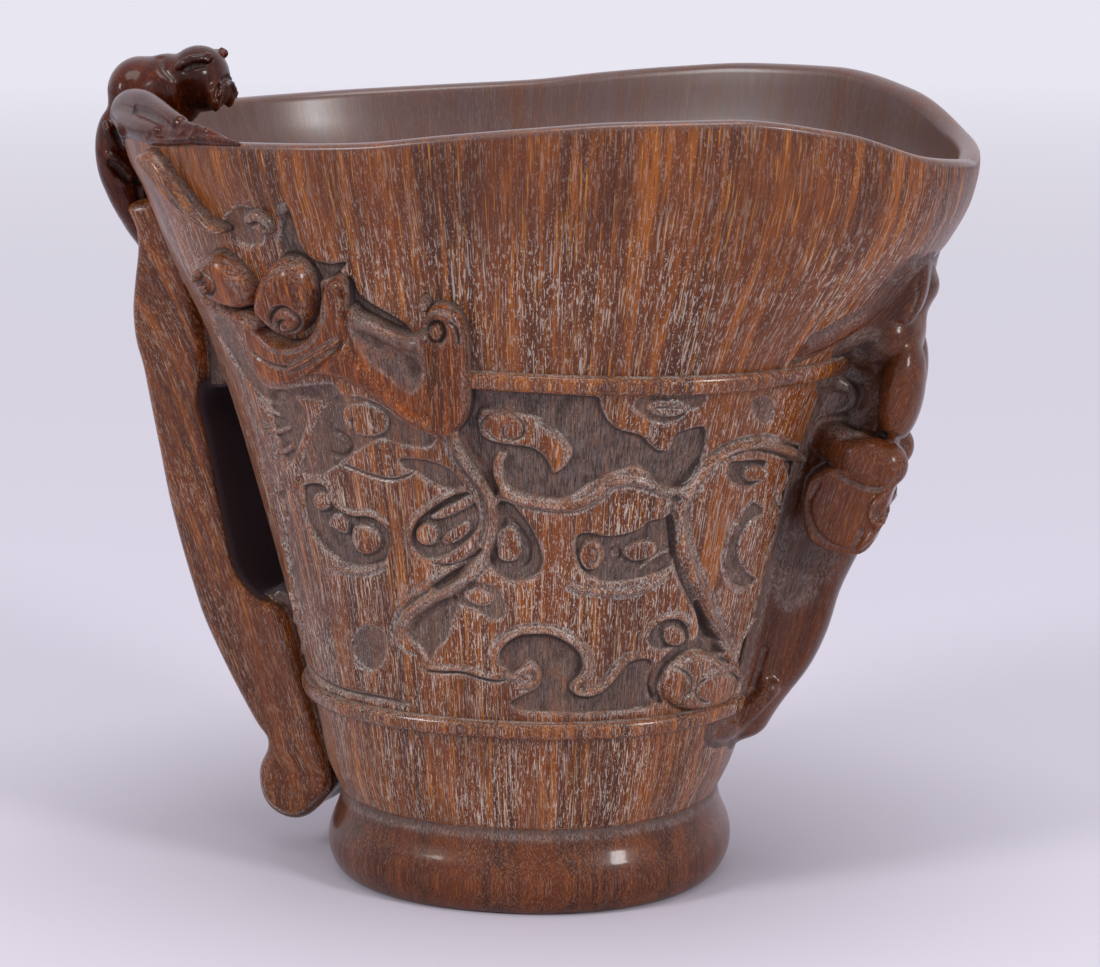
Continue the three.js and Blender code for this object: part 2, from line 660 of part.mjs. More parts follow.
// Spout dragon
const SPOUT_BODY_SHARES = [
  [0, 0.672, 0.115, 1.05, 1.2],
  [0, 0.599, 0.575, 1.2, 1.4],
  [0, 0.508, 0.79, 1.15, 1.45],
  [0, 0.423, 0.65, 1, 1.3],
  [0, 0.344, 0.315, 0.9, 1.2],
];
const SPOUT_TAIL_SHARES = [
  [0, 0.316, 0.28, 0.75, 1],
  [0, 0.242, 0.27, 0.7, 1],
  [-0.6, 0.171, 0.1, 0.6, 0.75],
  [-3.2, 0.114, -0.06, 0.45, 0.5],
  [-10, 0.098, -0.22, 0.4, 0.42],
];
const SPOUT_FORELEG_SHARES = [
  [8.7, 0.681, 0, 0.5, 0.75],
  [10.2, 0.648, 0.54, 0.65, 0.95],
  [10.1, 0.58, 0.795, 0.62, 0.95],
  [9.3, 0.54, 0.74, 0.45, 0.7],
];
const SPOUT_HINDLEG_SHARES = [
  [9.6, 0.505, 0.675, 0.66, 0.9],
  [11.5, 0.467, 0.82, 0.66, 0.95],
  [13.9, 0.41, 0.7, 0.6, 0.9],
  [14.4, 0.389, 0.56, 0.5, 0.75],
];
const SPOUT_HEAD_SHARES = [0, 0.717, -0.145, 1.2, 0.75];
const SPOUT_HEAD_TALL_SHARE = 0.85;
const SPOUT_EAR_SHARES = [
  [6, 0.712, 0.285, 0.35, 0.4],
  [6.4, 0.741, 0.23, 0.42, 0.26],
  [5.7, 0.768, 0.1, 0.24, 0.12],
];

function spoutHead(grow = 0) {
  const { point, width, depth } = spoutStop(1)(SPOUT_HEAD_SHARES);
  const halfSizes = [width, SPOUT_DRAGON_GIRTH * SPOUT_HEAD_TALL_SHARE, depth];
  const skull = dome(point, halfSizes, SPOUT_DIRECTION, UP, grow);
  const ears = [-1, 1].map((side) => limb(SPOUT_EAR_SHARES.map(spoutStop(side)), grow));
  return ears.reduce((whole, ear) => whole.add(ear), skull);
}

const spoutBody = (grow = 0) => limb(SPOUT_BODY_SHARES.map(spoutStop(1)), grow);
const spoutTail = (grow = 0) => limb(SPOUT_TAIL_SHARES.map(spoutStop(1)), grow);
const spoutForeleg = (side, grow = 0) => limb(SPOUT_FORELEG_SHARES.map(spoutStop(side)), grow);
const spoutHindleg = (side, grow = 0) => limb(SPOUT_HINDLEG_SHARES.map(spoutStop(side)), grow);

// Finishes of the carved piece: open-grained wall, polished high parts, dark ground
const grained = new THREE.MeshStandardMaterial({ color: 0x6b3f28, roughness: 0.5, metalness: 0 });
const polished = new THREE.MeshStandardMaterial({ color: 0x55261a, roughness: 0.3, metalness: 0 });
const worn = new THREE.MeshStandardMaterial({ color: 0x7a4a30, roughness: 0.45, metalness: 0 });

const group = new THREE.Group();

function place(name, body, material) {
  const mesh = new THREE.Mesh(geometryOf(body), material.clone());
  mesh.name = name;
  group.add(mesh);
}

place('bowl', carvedBowl(), grained);
place('foot_ring', footRing(), polished);
place('lower_band', without(band(lowerBandHeight), WALL), worn);
place('upper_band', without(band(upperBandHeight), WALL), worn);
place('handle', without(handle(), WALL, LOWER_BAND, UPPER_BAND, FOOT), grained);

const HOLLOW_BOWL = bowl(SEAM);
place('lip_dragon_body', without(lipBody(), HOLLOW_BOWL, handle(SEAM)), polished);
place('lip_dragon_head', without(lipHead(), HOLLOW_BOWL, lipBody(SEAM)), polished);

place('spout_dragon_body', without(spoutBody(), WALL, UPPER_BAND), polished);
place('spout_dragon_head', without(spoutHead(), WALL, spoutBody(SEAM)), polished);
place('spout_dragon_tail', without(spoutTail(), WALL, LOWER_BAND, spoutBody(SEAM)), polished);

for (const [name, side] of [['near', -1], ['far', 1]]) {
  const lipNeighbours = [HOLLOW_BOWL, lipBody(SEAM), lipHead(SEAM), handle(SEAM)];
  place(`lip_dragon_${name}_foreleg`, without(lipForeleg(side), ...lipNeighbours), polished);
  place(
    `lip_dragon_${name}_hindleg`,
    without(lipHindleg(side), ...lipNeighbours, lipForeleg(side, SEAM)),
    worn,
  );

  const sideGround = [WALL, UPPER_BAND, handle(SEAM)];
  place(`${name}_dragon_body`, without(sideBody(side), ...sideGround), worn);
  place(
    `${name}_dragon_head`,
    without(sideHead(side), ...sideGround, sideBody(side, SEAM), lipHindleg(side, SEAM)),
    polished,
  );
  place(
    `${name}_dragon_shoulder`,
    without(sideShoulder(side), ...sideGround, sideBody(side, SEAM)),
    polished,
  );
  place(
    `${name}_dragon_foreleg`,
    without(sideForeleg(side), ...sideGround, sideBody(side, SEAM), sideShoulder(side, SEAM)),
    worn,
  );
  place(`${name}_dragon_hindleg`, without(sideHindleg(side), ...sideGround, sideBody(side, SEAM)), worn);

  const spoutGround = [WALL, UPPER_BAND, spoutBody(SEAM), spoutHead(SEAM), spoutTail(SEAM)];
  place(`spout_dragon_${name}_foreleg`, without(spoutForeleg(side), ...spoutGround), polished);
  place(
    `spout_dragon_${name}_hindleg`,
    without(spoutHindleg(side), ...spoutGround, spoutForeleg(side, SEAM)),
    polished,
  );
}

export default group;
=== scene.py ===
import math

import bpy
import numpy as np
import openvdb
from mathutils import Matrix


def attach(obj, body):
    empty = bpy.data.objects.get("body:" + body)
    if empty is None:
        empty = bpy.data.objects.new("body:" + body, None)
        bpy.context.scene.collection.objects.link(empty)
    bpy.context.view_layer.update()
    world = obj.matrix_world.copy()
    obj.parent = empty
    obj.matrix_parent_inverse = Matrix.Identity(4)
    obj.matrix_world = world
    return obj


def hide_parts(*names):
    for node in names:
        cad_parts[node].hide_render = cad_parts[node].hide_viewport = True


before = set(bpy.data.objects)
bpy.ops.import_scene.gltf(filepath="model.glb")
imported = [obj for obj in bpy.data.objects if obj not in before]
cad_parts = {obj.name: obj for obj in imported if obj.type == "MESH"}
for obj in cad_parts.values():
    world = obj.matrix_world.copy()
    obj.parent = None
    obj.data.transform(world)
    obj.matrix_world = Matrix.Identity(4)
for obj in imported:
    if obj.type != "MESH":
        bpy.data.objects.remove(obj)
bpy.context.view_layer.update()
MM = 0.001

# Bowl and foot, as in the CAD source
NECK_HALF_LENGTH, NECK_HALF_WIDTH = 26.6, 25.3
SPOUT_REACH, HANDLE_LIP_REACH, LIP_HALF_WIDTH = 61.3, 57.0, 43.93
LIP_HEIGHT, LIP_DIP, LIP_WALL, LIP_ROUND = 109.3, 8.3, 3.0, 1.3
FLOOR_WALL, FLOOR_HEIGHT, FLOOR_ROUND = 5.0, 21.0, 7.0
SECTION_POWER = 2.15
NECK_BASE, BOWL_RISE = 12.3, 97.0
FOOT_HEIGHT = 12.0
LOWER_BAND_HEIGHT, UPPER_BAND_HEIGHT, UPPER_BAND_DROP = 26.5, 75.2, 1.2
BAND_HEIGHT, BAND_RELIEF = 2.5, 1.3
HANDLE_WIDTH = 16.0
BOWL_SHARES = np.array([
    [0, 0, 0, 0], [0.038, 0.049, 0.052, 0.048], [0.1, 0.104, 0.092, 0.086],
    [0.224, 0.184, 0.19, 0.166], [0.389, 0.294, 0.327, 0.289], [0.636, 0.519, 0.562, 0.54],
    [0.76, 0.798, 0.748, 0.69], [0.8, 0.89, 0.8, 0.745], [0.86, 0.974, 0.875, 0.83],
    [0.904, 0.997, 0.941, 0.909], [1, 1, 1, 1]])
LIP_SHARES = np.array([
    [0, 1], [0.083, 0.76], [0.167, 0.24], [0.25, 0], [0.333, 0.02], [0.417, 0.13],
    [0.5, 0.27], [0.583, 0.43], [0.667, 0.51], [0.75, 0.57], [0.833, 0.61], [1, 0.63]])

# Camera: where it stands, what it looks at, and its focal length in photograph pixels
CAMERA_PLACE = np.array([134.59, -502.28, 162.0])
CAMERA_AIM = np.array([2.772, 0.743, 54.13])
FOCAL_PIXELS, IMAGE_WIDTH, IMAGE_HEIGHT = 3838.0, 1100.0, 967.0
SENSOR_WIDTH = 36.0


# Shapes in numbers
def smooth_share(table, column, at):
    """Smooth curve through a table's first column and one other, with no overshoot."""
    xs, ys = table[:, 0], table[:, column]
    at = np.clip(at, xs[0], xs[-1])
    slopes = np.diff(ys) / np.diff(xs)
    lean = np.zeros(len(xs))
    lean[0], lean[-1] = slopes[0], slopes[-1]
    product = slopes[:-1] * slopes[1:]
    total = np.where(product > 0, slopes[:-1] + slopes[1:], 1)
    lean[1:-1] = np.where(product > 0, 2 * product / total, 0)
    k = np.clip(np.searchsorted(xs, at, side="right") - 1, 0, len(xs) - 2)
    span = (xs[1:] - xs[:-1])[k]
    t = (at - xs[k]) / span
    start = (1 + 2 * t) * (1 - t) ** 2 * ys[k] + t * (1 - t) ** 2 * span * lean[k]
    return start + t * t * (3 - 2 * t) * ys[k + 1] - t * t * (1 - t) * span * lean[k + 1]


def half_turn(angle):
    """Angle from the spout's side, the same on both sides of the cup."""
    return np.abs(np.arctan2(np.sin(angle), np.cos(angle)))


def angle_of(points):
    return np.arctan2(points[..., 1], points[..., 0])


def lip_height(angle):
    return LIP_HEIGHT - LIP_DIP * smooth_share(LIP_SHARES, 1, half_turn(angle) / np.pi)


def wall_reach(angle, height, grow=0.0):
    """Distance of the bowl's outer wall from the upright middle line."""
    rise = (height - NECK_BASE) / BOWL_RISE
    c, s = np.cos(angle), np.sin(angle)

    def flared(neck, lip, column):
        return neck + (lip - neck) * smooth_share(BOWL_SHARES, column, rise)

    spout = flared(NECK_HALF_LENGTH, SPOUT_REACH, 1)
    back = flared(NECK_HALF_LENGTH, HANDLE_LIP_REACH, 2)
    along = np.where(c > 0, spout, back) + grow
    across = flared(NECK_HALF_WIDTH, LIP_HALF_WIDTH, 3) + grow
    total = np.abs(c / along) ** SECTION_POWER + np.abs(s / across) ** SECTION_POWER
    return total ** (-1 / SECTION_POWER)


def wall_point(angle, height, grow=0.0):
    """Point of the bowl's outer wall, or that far off it."""
    reach = wall_reach(angle, height, grow)
    return np.stack([reach * np.cos(angle), reach * np.sin(angle), height + 0 * reach], -1)


def wall_normal(angle, height):
    turn, step = 0.02, 0.4
    along = wall_point(angle + turn, height) - wall_point(angle - turn, height)
    up = wall_point(angle, height + step) - wall_point(angle, height - step)
    normal = np.cross(along, up)
    return normal / np.linalg.norm(normal, axis=-1, keepdims=True)


def wall_gap(points):
    """Distance of points off the bowl's outer wall, about exact near it."""
    angle, height = angle_of(points), points[..., 2]
    wall = wall_reach(angle, height)
    slope = (wall_reach(angle, height + 0.5) - wall_reach(angle, height - 0.5))
    turn = (wall_reach(angle + 0.01, height) - wall_reach(angle - 0.01, height)) / 0.02 / wall
    return (np.hypot(points[..., 0], points[..., 1]) - wall) / np.sqrt(1 + slope ** 2 + turn ** 2)


def bowl_gap(points):
    """Distance of points off the bowl's solid, with its lip and its hollow."""
    wall = wall_gap(points)
    over = points[..., 2] - lip_height(angle_of(points))
    return np.maximum(np.maximum(wall, over), -wall - LIP_WALL)


def merged(new, old, blend, pick=np.minimum):
    """The lesser, or the greater, of two distances with a soft seam between them."""
    near = np.maximum(blend - np.abs(new - old), 0) / blend
    seam = near * near * blend / 4
    return pick(new, old) + (seam if pick is np.maximum else -seam)


def rounded(a, b, edge):
    """Distance off what two distances share, with its edge rounded."""
    return np.minimum(np.maximum(a, b), 0) + np.hypot(np.maximum(a, 0), np.maximum(b, 0)) - edge


def pairs(numbers):
    """Flat numbers as rows of two."""
    return np.reshape(numbers, (-1, 2))


def smooth_step(value, low, high):
    """Eased rise from 0 at one value to 1 at another."""
    t = np.clip((value - low) / (high - low), 0, 1)
    return t * t * (3 - 2 * t)


def spline(spots, closed=False, step=1.0):
    """Dense points, a step apart, on a smooth curve through spots of any dimension."""
    spots = np.array(spots, float)
    if closed:
        ring = np.vstack([spots[-1], spots, spots[0], spots[1]])
    else:
        ring = np.vstack([2 * spots[0] - spots[1], spots, 2 * spots[-1] - spots[-2]])
    out = []
    for a, b, c, d in zip(ring[:-3], ring[1:-2], ring[2:-1], ring[3:]):
        count = max(2, int(np.linalg.norm(c - b) / step) + 1)
        t = np.linspace(0, 1, count, endpoint=False)[:, None]
        square, cube = 2 * a - 5 * b + 4 * c - d, 3 * b - a - 3 * c + d
        out.append(0.5 * (2 * b + (c - a) * t + square * t ** 2 + cube * t ** 3))
    if not closed:
        out.append(ring[-2][None])
    return np.vstack(out)


# The photograph's camera
FORWARD = (CAMERA_AIM - CAMERA_PLACE) / np.linalg.norm(CAMERA_AIM - CAMERA_PLACE)
RIGHT = np.cross(FORWARD, [0, 0, 1.0])
RIGHT /= np.linalg.norm(RIGHT)
CAMERA_UP = np.cross(RIGHT, FORWARD)


def pixel_rays(pixels):
    """Directions from the camera through pixels of the photograph."""
    pixels = np.array(pixels, float)
    across = (pixels[..., 0] - IMAGE_WIDTH / 2) / FOCAL_PIXELS
    up = (IMAGE_HEIGHT / 2 - pixels[..., 1]) / FOCAL_PIXELS
    rays = FORWARD + across[..., None] * RIGHT + up[..., None] * CAMERA_UP
    return rays / np.linalg.norm(rays, axis=-1, keepdims=True)


# Distances from the camera between which the cup stands, and how often a hit is halved
SIGHT_START, SIGHT_END, SIGHT_STEPS, HALVINGS = 430, 600, 171, 18


def on_wall(pixels, grow=0.0):
    """Angle and height of pixels of the photograph on the near wall, or that far off it."""
    rays = pixel_rays(pixels)
    reach = np.linspace(SIGHT_START, SIGHT_END, SIGHT_STEPS)

    def gap_off(points):
        radius = np.hypot(points[..., 0], points[..., 1])
        return radius - wall_reach(angle_of(points), points[..., 2], grow)

    gap = gap_off(CAMERA_PLACE + rays[:, None, :] * reach[None, :, None])
    inside = gap < 0
    first = np.where(inside.any(1), inside.argmax(1), gap.argmin(1))
    low, high = reach[np.maximum(first - 1, 0)].copy(), reach[first].copy()
    for _ in range(HALVINGS):
        middle = (low + high) / 2
        hit = gap_off(CAMERA_PLACE + rays * middle[:, None]) < 0
        high = np.where(hit, middle, high)
        low = np.where(hit, low, middle)
    points = CAMERA_PLACE + rays * high[:, None]
    return angle_of(points), points[:, 2]


def on_plane(pixel, y):
    """Point of the upright plane at that y which a pixel of the photograph shows."""
    ray = pixel_rays(pixel)
    return CAMERA_PLACE + ray * ((y - CAMERA_PLACE[1]) / ray[1])


# Meshes
def placed(name, data):
    """New object in the scene."""
    obj = bpy.data.objects.new(name, data)
    bpy.context.scene.collection.objects.link(obj)
    return obj


def make_mesh(name, points, faces, attributes=None):
    """Object from points in millimetres and arrays of faces with 3 or 4 corners."""
    mesh = bpy.data.meshes.new(name)
    faces = [np.asarray(f, np.int32) for f in faces if len(f)]
    corners = np.concatenate([f.ravel() for f in faces])
    sizes = np.concatenate([np.full(len(f), f.shape[1]) for f in faces])
    mesh.vertices.add(len(points))
    mesh.vertices.foreach_set("co", (np.asarray(points) * MM).astype(np.float32).ravel())
    mesh.loops.add(len(corners))
    mesh.loops.foreach_set("vertex_index", corners)
    mesh.polygons.add(len(sizes))
    starts = np.concatenate([[0], np.cumsum(sizes)[:-1]])
    mesh.polygons.foreach_set("loop_start", starts.astype(np.int32))
    mesh.update(calc_edges=True)
    mesh.validate()
    mesh.shade_smooth()
    for key, values in (attributes or {}).items():
        values = np.asarray(values, np.float32)
        kind = "FLOAT_VECTOR" if values.ndim == 2 else "FLOAT"
        layer = mesh.attributes.new(key, kind, "POINT")
        layer.data.foreach_set("vector" if values.ndim == 2 else "value", values.ravel())
    return placed(name, mesh)


def ring_faces(rows, columns, wrap_rows=False):
    """Quads of a grid whose columns close on themselves."""
    r = np.arange(rows if wrap_rows else rows - 1)[:, None]
    c = np.arange(columns)[None, :]
    here, below = r * columns, ((r + 1) % rows) * columns
    right = (c + 1) % columns
    return np.stack([here + c, here + right, below + right, below + c], -1).reshape(-1, 4)


def fan_faces(row_start, columns, centre, flip):
    """Triangles from a ring to a point."""
    c = np.arange(columns)
    a, b = row_start + c, row_start + (c + 1) % columns
    middle = np.full(columns, centre)
    return np.stack([middle, b, a] if flip else [middle, a, b], -1)


def closed_faces(rows, columns):
    """Faces of a grid of rings and of the fans from its ends to two more points."""
    end = rows * columns
    fans = fan_faces(0, columns, end, True), fan_faces(end - columns, columns, end + 1, False)
    return [ring_faces(rows, columns), np.concatenate(fans)]


# How far out the grain's own place is, so that it doesn't spread with the flare
FIBRE_REACH = 38.0


def fibre_place(points):
    """Place on the unflared bowl, along which the grain runs upright."""
    wall = wall_reach(angle_of(points), points[:, 2])
    out = points.copy()
    out[:, :2] *= (FIBRE_REACH / wall)[:, None]
    return out


def blurred(values, across, down):
    """Box blur of a grid that closes on itself along its columns."""
    def run(v, size, axis, mode):
        pads = [(0, 0), (0, 0)]
        pads[axis] = (size, size)
        padded = np.pad(v, pads, mode=mode)
        total = np.cumsum(padded, axis=axis)
        width = 2 * size
        if axis == 1:
            return (total[:, width:] - total[:, :-width])[:, :v.shape[1]] / width
        return (total[width:] - total[:-width])[:v.shape[0]] / width
    return run(run(values, across, 1, "wrap"), down, 0, "edge")


# The frieze, traced in pixels of the photograph on the bowl's near wall.
# The other side of the cup is its mirror image.
GROUND_DEPTH = 0.75
# Each row holds two sizes and then x,y of every pixel of an outline or a path.
# Sunk areas: share of the ground's depth, edge width in mm, outline
POOLS = [
    (1.0, 0.5, 470,389, 500,390, 540,393, 575,396, 598,398, 601,406, 605,416, 612,425, 622,431, 634,434,
     643,437, 651,445, 659,451, 668,452, 673,445, 676,436, 690,430, 705,428, 707,440, 704,456, 698,471,
     690,483, 680,489, 668,490, 660,488, 654,479, 645,471, 635,468, 625,470, 615,473, 605,478, 592,484,
     575,495, 560,500, 540,498, 522,494, 512,490, 505,483, 502,472, 503,462, 506,455, 499,454, 494,465,
     495,478, 499,490, 495,498, 489,490, 478,474, 468,460, 461,446, 456,433, 459,415, 464,400),
    (1.0, 0.5, 496,505, 505,503, 515,508, 525,520, 533,532, 539,545, 543,560, 541,570, 533,578, 520,582,
     505,580, 490,568, 489,548, 493,520),
    (0.9, 0.4, 578,536, 590,534, 610,537, 625,535, 640,530, 650,522, 662,520, 672,517, 674,540, 674,562,
     663,572, 648,577, 630,581, 610,583, 595,580, 583,572, 577,560, 575,548),
    (0.55, 0.4, 634,408, 640,398, 655,395, 675,391, 700,388, 708,398, 700,408, 690,410, 684,417,
     670,424, 655,423, 645,418),
    (0.9, 0.4, 302,490, 305,485, 315,484, 325,488, 333,505, 340,511, 352,517, 365,517, 376,521, 386,530,
     389,541, 387,552, 383,562, 368,566, 350,565, 335,559, 320,544, 311,530, 305,515),
    (0.7, 0.5, 398,460, 412,459, 427,461, 440,465, 452,472, 460,480, 464,488, 446,489, 430,482, 418,474,
     404,469),
    (0.9, 0.4, 468,493, 474,502, 479,513, 479,524, 474,534, 464,544, 452,552, 440,558, 429,560, 419,556,
     412,547, 410,537, 413,526, 419,518, 428,511, 438,504, 450,497, 460,492),
    (0.5, 0.8, 352,640, 360,628, 372,626, 384,634, 386,650, 382,664, 372,671, 360,664, 352,652),
    (0.55, 0.8, 403,630, 410,616, 430,603, 450,597, 459,606, 452,622, 446,640, 436,650, 430,662,
     420,648, 410,640),
    (0.85, 0.4, 500,664, 498,656, 502,648, 510,640, 522,635, 536,634, 550,635, 562,640, 573,647,
     581,656, 583,668, 578,678, 572,684, 570,690, 580,696, 594,696, 606,690, 615,680, 622,671, 630,663,
     642,660, 652,661, 654,672, 652,686, 656,700, 650,708, 630,711, 600,713, 570,714, 545,713, 520,711,
     510,704, 520,697, 535,690, 541,680, 538,668, 530,662, 522,667, 514,673, 506,672),
    (0.8, 0.4, 648,640, 652,630, 660,623, 670,620, 682,621, 689,629, 691,640, 684,647, 672,649, 660,650,
     652,647),
    (0.9, 0.4, 697,600, 704,612, 708,626, 716,634, 723,642, 724,652, 712,654, 698,650, 684,654, 672,664,
     662,676, 659,690, 664,704, 655,702, 650,688, 654,672, 664,658, 678,648, 694,641, 700,628, 697,612),
    (0.7, 0.4, 750,504, 762,506, 764,514, 754,520, 746,530, 740,545, 741,560, 748,572, 757,580, 746,588,
     734,584, 727,573, 726,556, 731,538, 739,522),
    (0.8, 0.6, 768,608, 773,616, 772,634, 768,655, 760,672, 750,684, 744,680, 740,664, 740,648, 746,634,
     755,620),
    (0.9, 0.35, 730,464, 742,462, 756,461, 768,462, 764,472, 760,482, 748,488, 736,484, 728,474),
    (0.8, 0.35, 785,462, 800,464, 808,474, 811,488, 806,500, 795,508, 784,504, 783,492, 790,482,
     788,470),
    (0.35, 0.4, 754,400, 764,396, 774,402, 774,414, 768,424, 760,422, 753,412),
    (0.8, 0.5, 428,585, 440,578, 455,570, 470,560, 480,550, 486,548, 484,560, 476,570, 464,579, 450,586,
     438,592),
    (0.45, 0.6, 455,586, 470,582, 490,585, 500,592, 505,606, 504,618, 490,620, 478,612, 462,606,
     452,600),
    (0.5, 0.7, 300,470, 308,440, 318,415, 335,398, 356,396, 378,404, 398,418, 420,430, 436,438, 428,448,
     404,446, 380,440, 356,452, 336,466, 318,476),
    (0.6, 0.6, 270,395, 282,392, 300,404, 306,420, 300,440, 290,462, 280,450, 272,420),
    (0.7, 0.6, 700,612, 712,622, 722,640, 715,640, 702,636),
    (0.8, 0.5, 286,208, 281,226, 280,243, 286,259, 299,272, 314,282, 333,278, 346,263, 330,264, 312,260,
     300,247, 294,228),
    (0.9, 0.4, 337,283, 343,277, 352,280, 358,294, 370,304, 386,313, 404,324, 412,336, 392,334, 370,324,
     350,314, 338,304),
    (0.5, 0.9, 228,212, 240,206, 254,212, 262,228, 262,244, 246,246, 232,236, 222,224),
    (0.5, 0.9, 214,316, 226,322, 238,342, 248,366, 268,388, 300,386, 330,384, 340,396, 330,404, 300,398,
     270,402, 246,380, 228,352, 216,332),
]
# Raised areas: height and crown width in mm, outline
MOUNDS = [
    (0.85, 1.0, 480,411, 500,412, 520,414, 535,417, 545,425, 557,433, 565,440, 571,447, 572,455,
     568,463, 562,470, 553,474, 550,466, 545,458, 535,450, 525,447, 515,446, 500,444, 487,440, 479,431),
    (0.7, 0.7, 500,530, 512,528, 520,540, 521,555, 512,562, 500,560, 496,548),
    (0.6, 0.6, 582,548, 590,541, 600,545, 604,556, 598,568, 587,570, 580,560),
    (0.75, 0.7, 624,553, 634,544, 648,541, 657,545, 656,554, 645,560, 632,561),
    (0.5, 0.6, 648,404, 662,401, 680,402, 690,406, 684,413, 670,417, 656,415, 648,410),
    (0.9, 1.0, 316,493, 324,492, 330,498, 330,506, 323,511, 315,508, 312,500),
    (0.8, 0.8, 333,514, 342,515, 348,524, 346,534, 337,531, 328,524),
    (0.8, 0.9, 354,526, 364,525, 376,530, 381,541, 377,550, 365,555, 355,549, 351,537),
    (0.7, 0.8, 468,496, 473,504, 462,511, 448,517, 436,520, 430,517, 440,510, 455,503),
    (0.8, 0.9, 425,524, 434,526, 438,535, 434,544, 425,546, 417,541, 416,531),
    (0.5, 0.8, 446,534, 458,526, 468,522, 470,530, 460,540, 449,545, 442,543),
    (0.8, 0.9, 664,630, 674,626, 684,632, 685,642, 676,646, 666,642),
    (1.1, 1.6, 664,672, 676,660, 692,653, 708,655, 720,661, 734,668, 738,680, 735,694, 724,700, 708,706,
     690,708, 674,704, 664,692),
    (0.5, 0.8, 346,406, 366,404, 384,412, 388,428, 374,436, 356,434, 344,422),
    (0.6, 0.8, 286,470, 296,462, 301,476, 296,490, 288,486),
    (0.7, 0.8, 756,466, 766,470, 762,480, 750,482, 744,474),
    (0.7, 0.8, 790,488, 798,486, 803,494, 797,502, 788,499),
    (0.4, 0.8, 463,592, 482,590, 494,598, 486,606, 470,602),
]
# Narrow cuts: depth and half width in mm, path
CUTS = [
    (0.45, 0.24, 486,434, 481,426, 486,417, 499,413, 512,415, 522,423, 524,432, 518,439, 509,440,
     503,435, 504,427, 511,425),
    (0.35, 0.2, 498,441, 491,436, 487,429),
    (0.3, 0.2, 540,424, 552,433, 562,443, 567,452, 563,462),
    (0.4, 0.22, 505,515, 520,530, 530,548, 528,564, 518,572),
    (0.5, 0.3, 672,514, 675,530, 675,550, 678,570, 684,586, 692,602, 699,613),
    (0.4, 0.2, 650,410, 664,408, 684,409),
    (0.45, 0.3, 336,463, 350,468, 365,474, 378,478, 392,480, 405,477, 416,471),
    (0.35, 0.2, 354,518, 357,526, 359,534),
    (0.45, 0.25, 430,563, 445,566, 460,563, 474,556, 482,547),
    (0.35, 0.22, 470,575, 452,591, 432,600, 414,612, 404,624, 399,640, 406,652, 416,656),
    (0.4, 0.25, 352,640, 350,650, 354,662, 364,670),
    (0.4, 0.25, 420,670, 440,673, 460,673, 480,679, 495,682, 508,680),
    (0.45, 0.3, 668,664, 680,668, 688,678, 686,690, 677,695),
    (0.5, 0.3, 702,676, 695,682, 692,690, 697,698, 706,700),
    (0.5, 0.3, 708,672, 720,670, 730,672, 733,684, 728,694),
    (0.35, 0.22, 756,507, 745,518, 737,533, 734,550, 737,566, 745,578),
    (0.4, 0.25, 735,457, 748,448, 764,443, 782,444, 800,449, 814,457, 820,474),
    (0.5, 0.3, 780,484, 777,494, 779,506, 786,510),
    (0.5, 0.3, 752,636, 750,650, 752,664),
    (0.35, 0.2, 757,402, 762,410, 759,418),
    (0.45, 0.3, 330,430, 345,438, 350,448, 342,456, 325,452),
    (0.5, 0.3, 352,417, 351,425, 353,433),
    (0.5, 0.35, 304,655, 306,664, 314,674, 326,683, 342,690, 362,695, 384,699, 410,705),
    (0.3, 0.3, 280,470, 283,500, 286,530, 290,560, 295,590, 301,610),
    (0.35, 0.22, 590,548, 597,552, 596,562, 588,564),
    (0.35, 0.22, 608,556, 616,549, 622,556, 614,565),
]
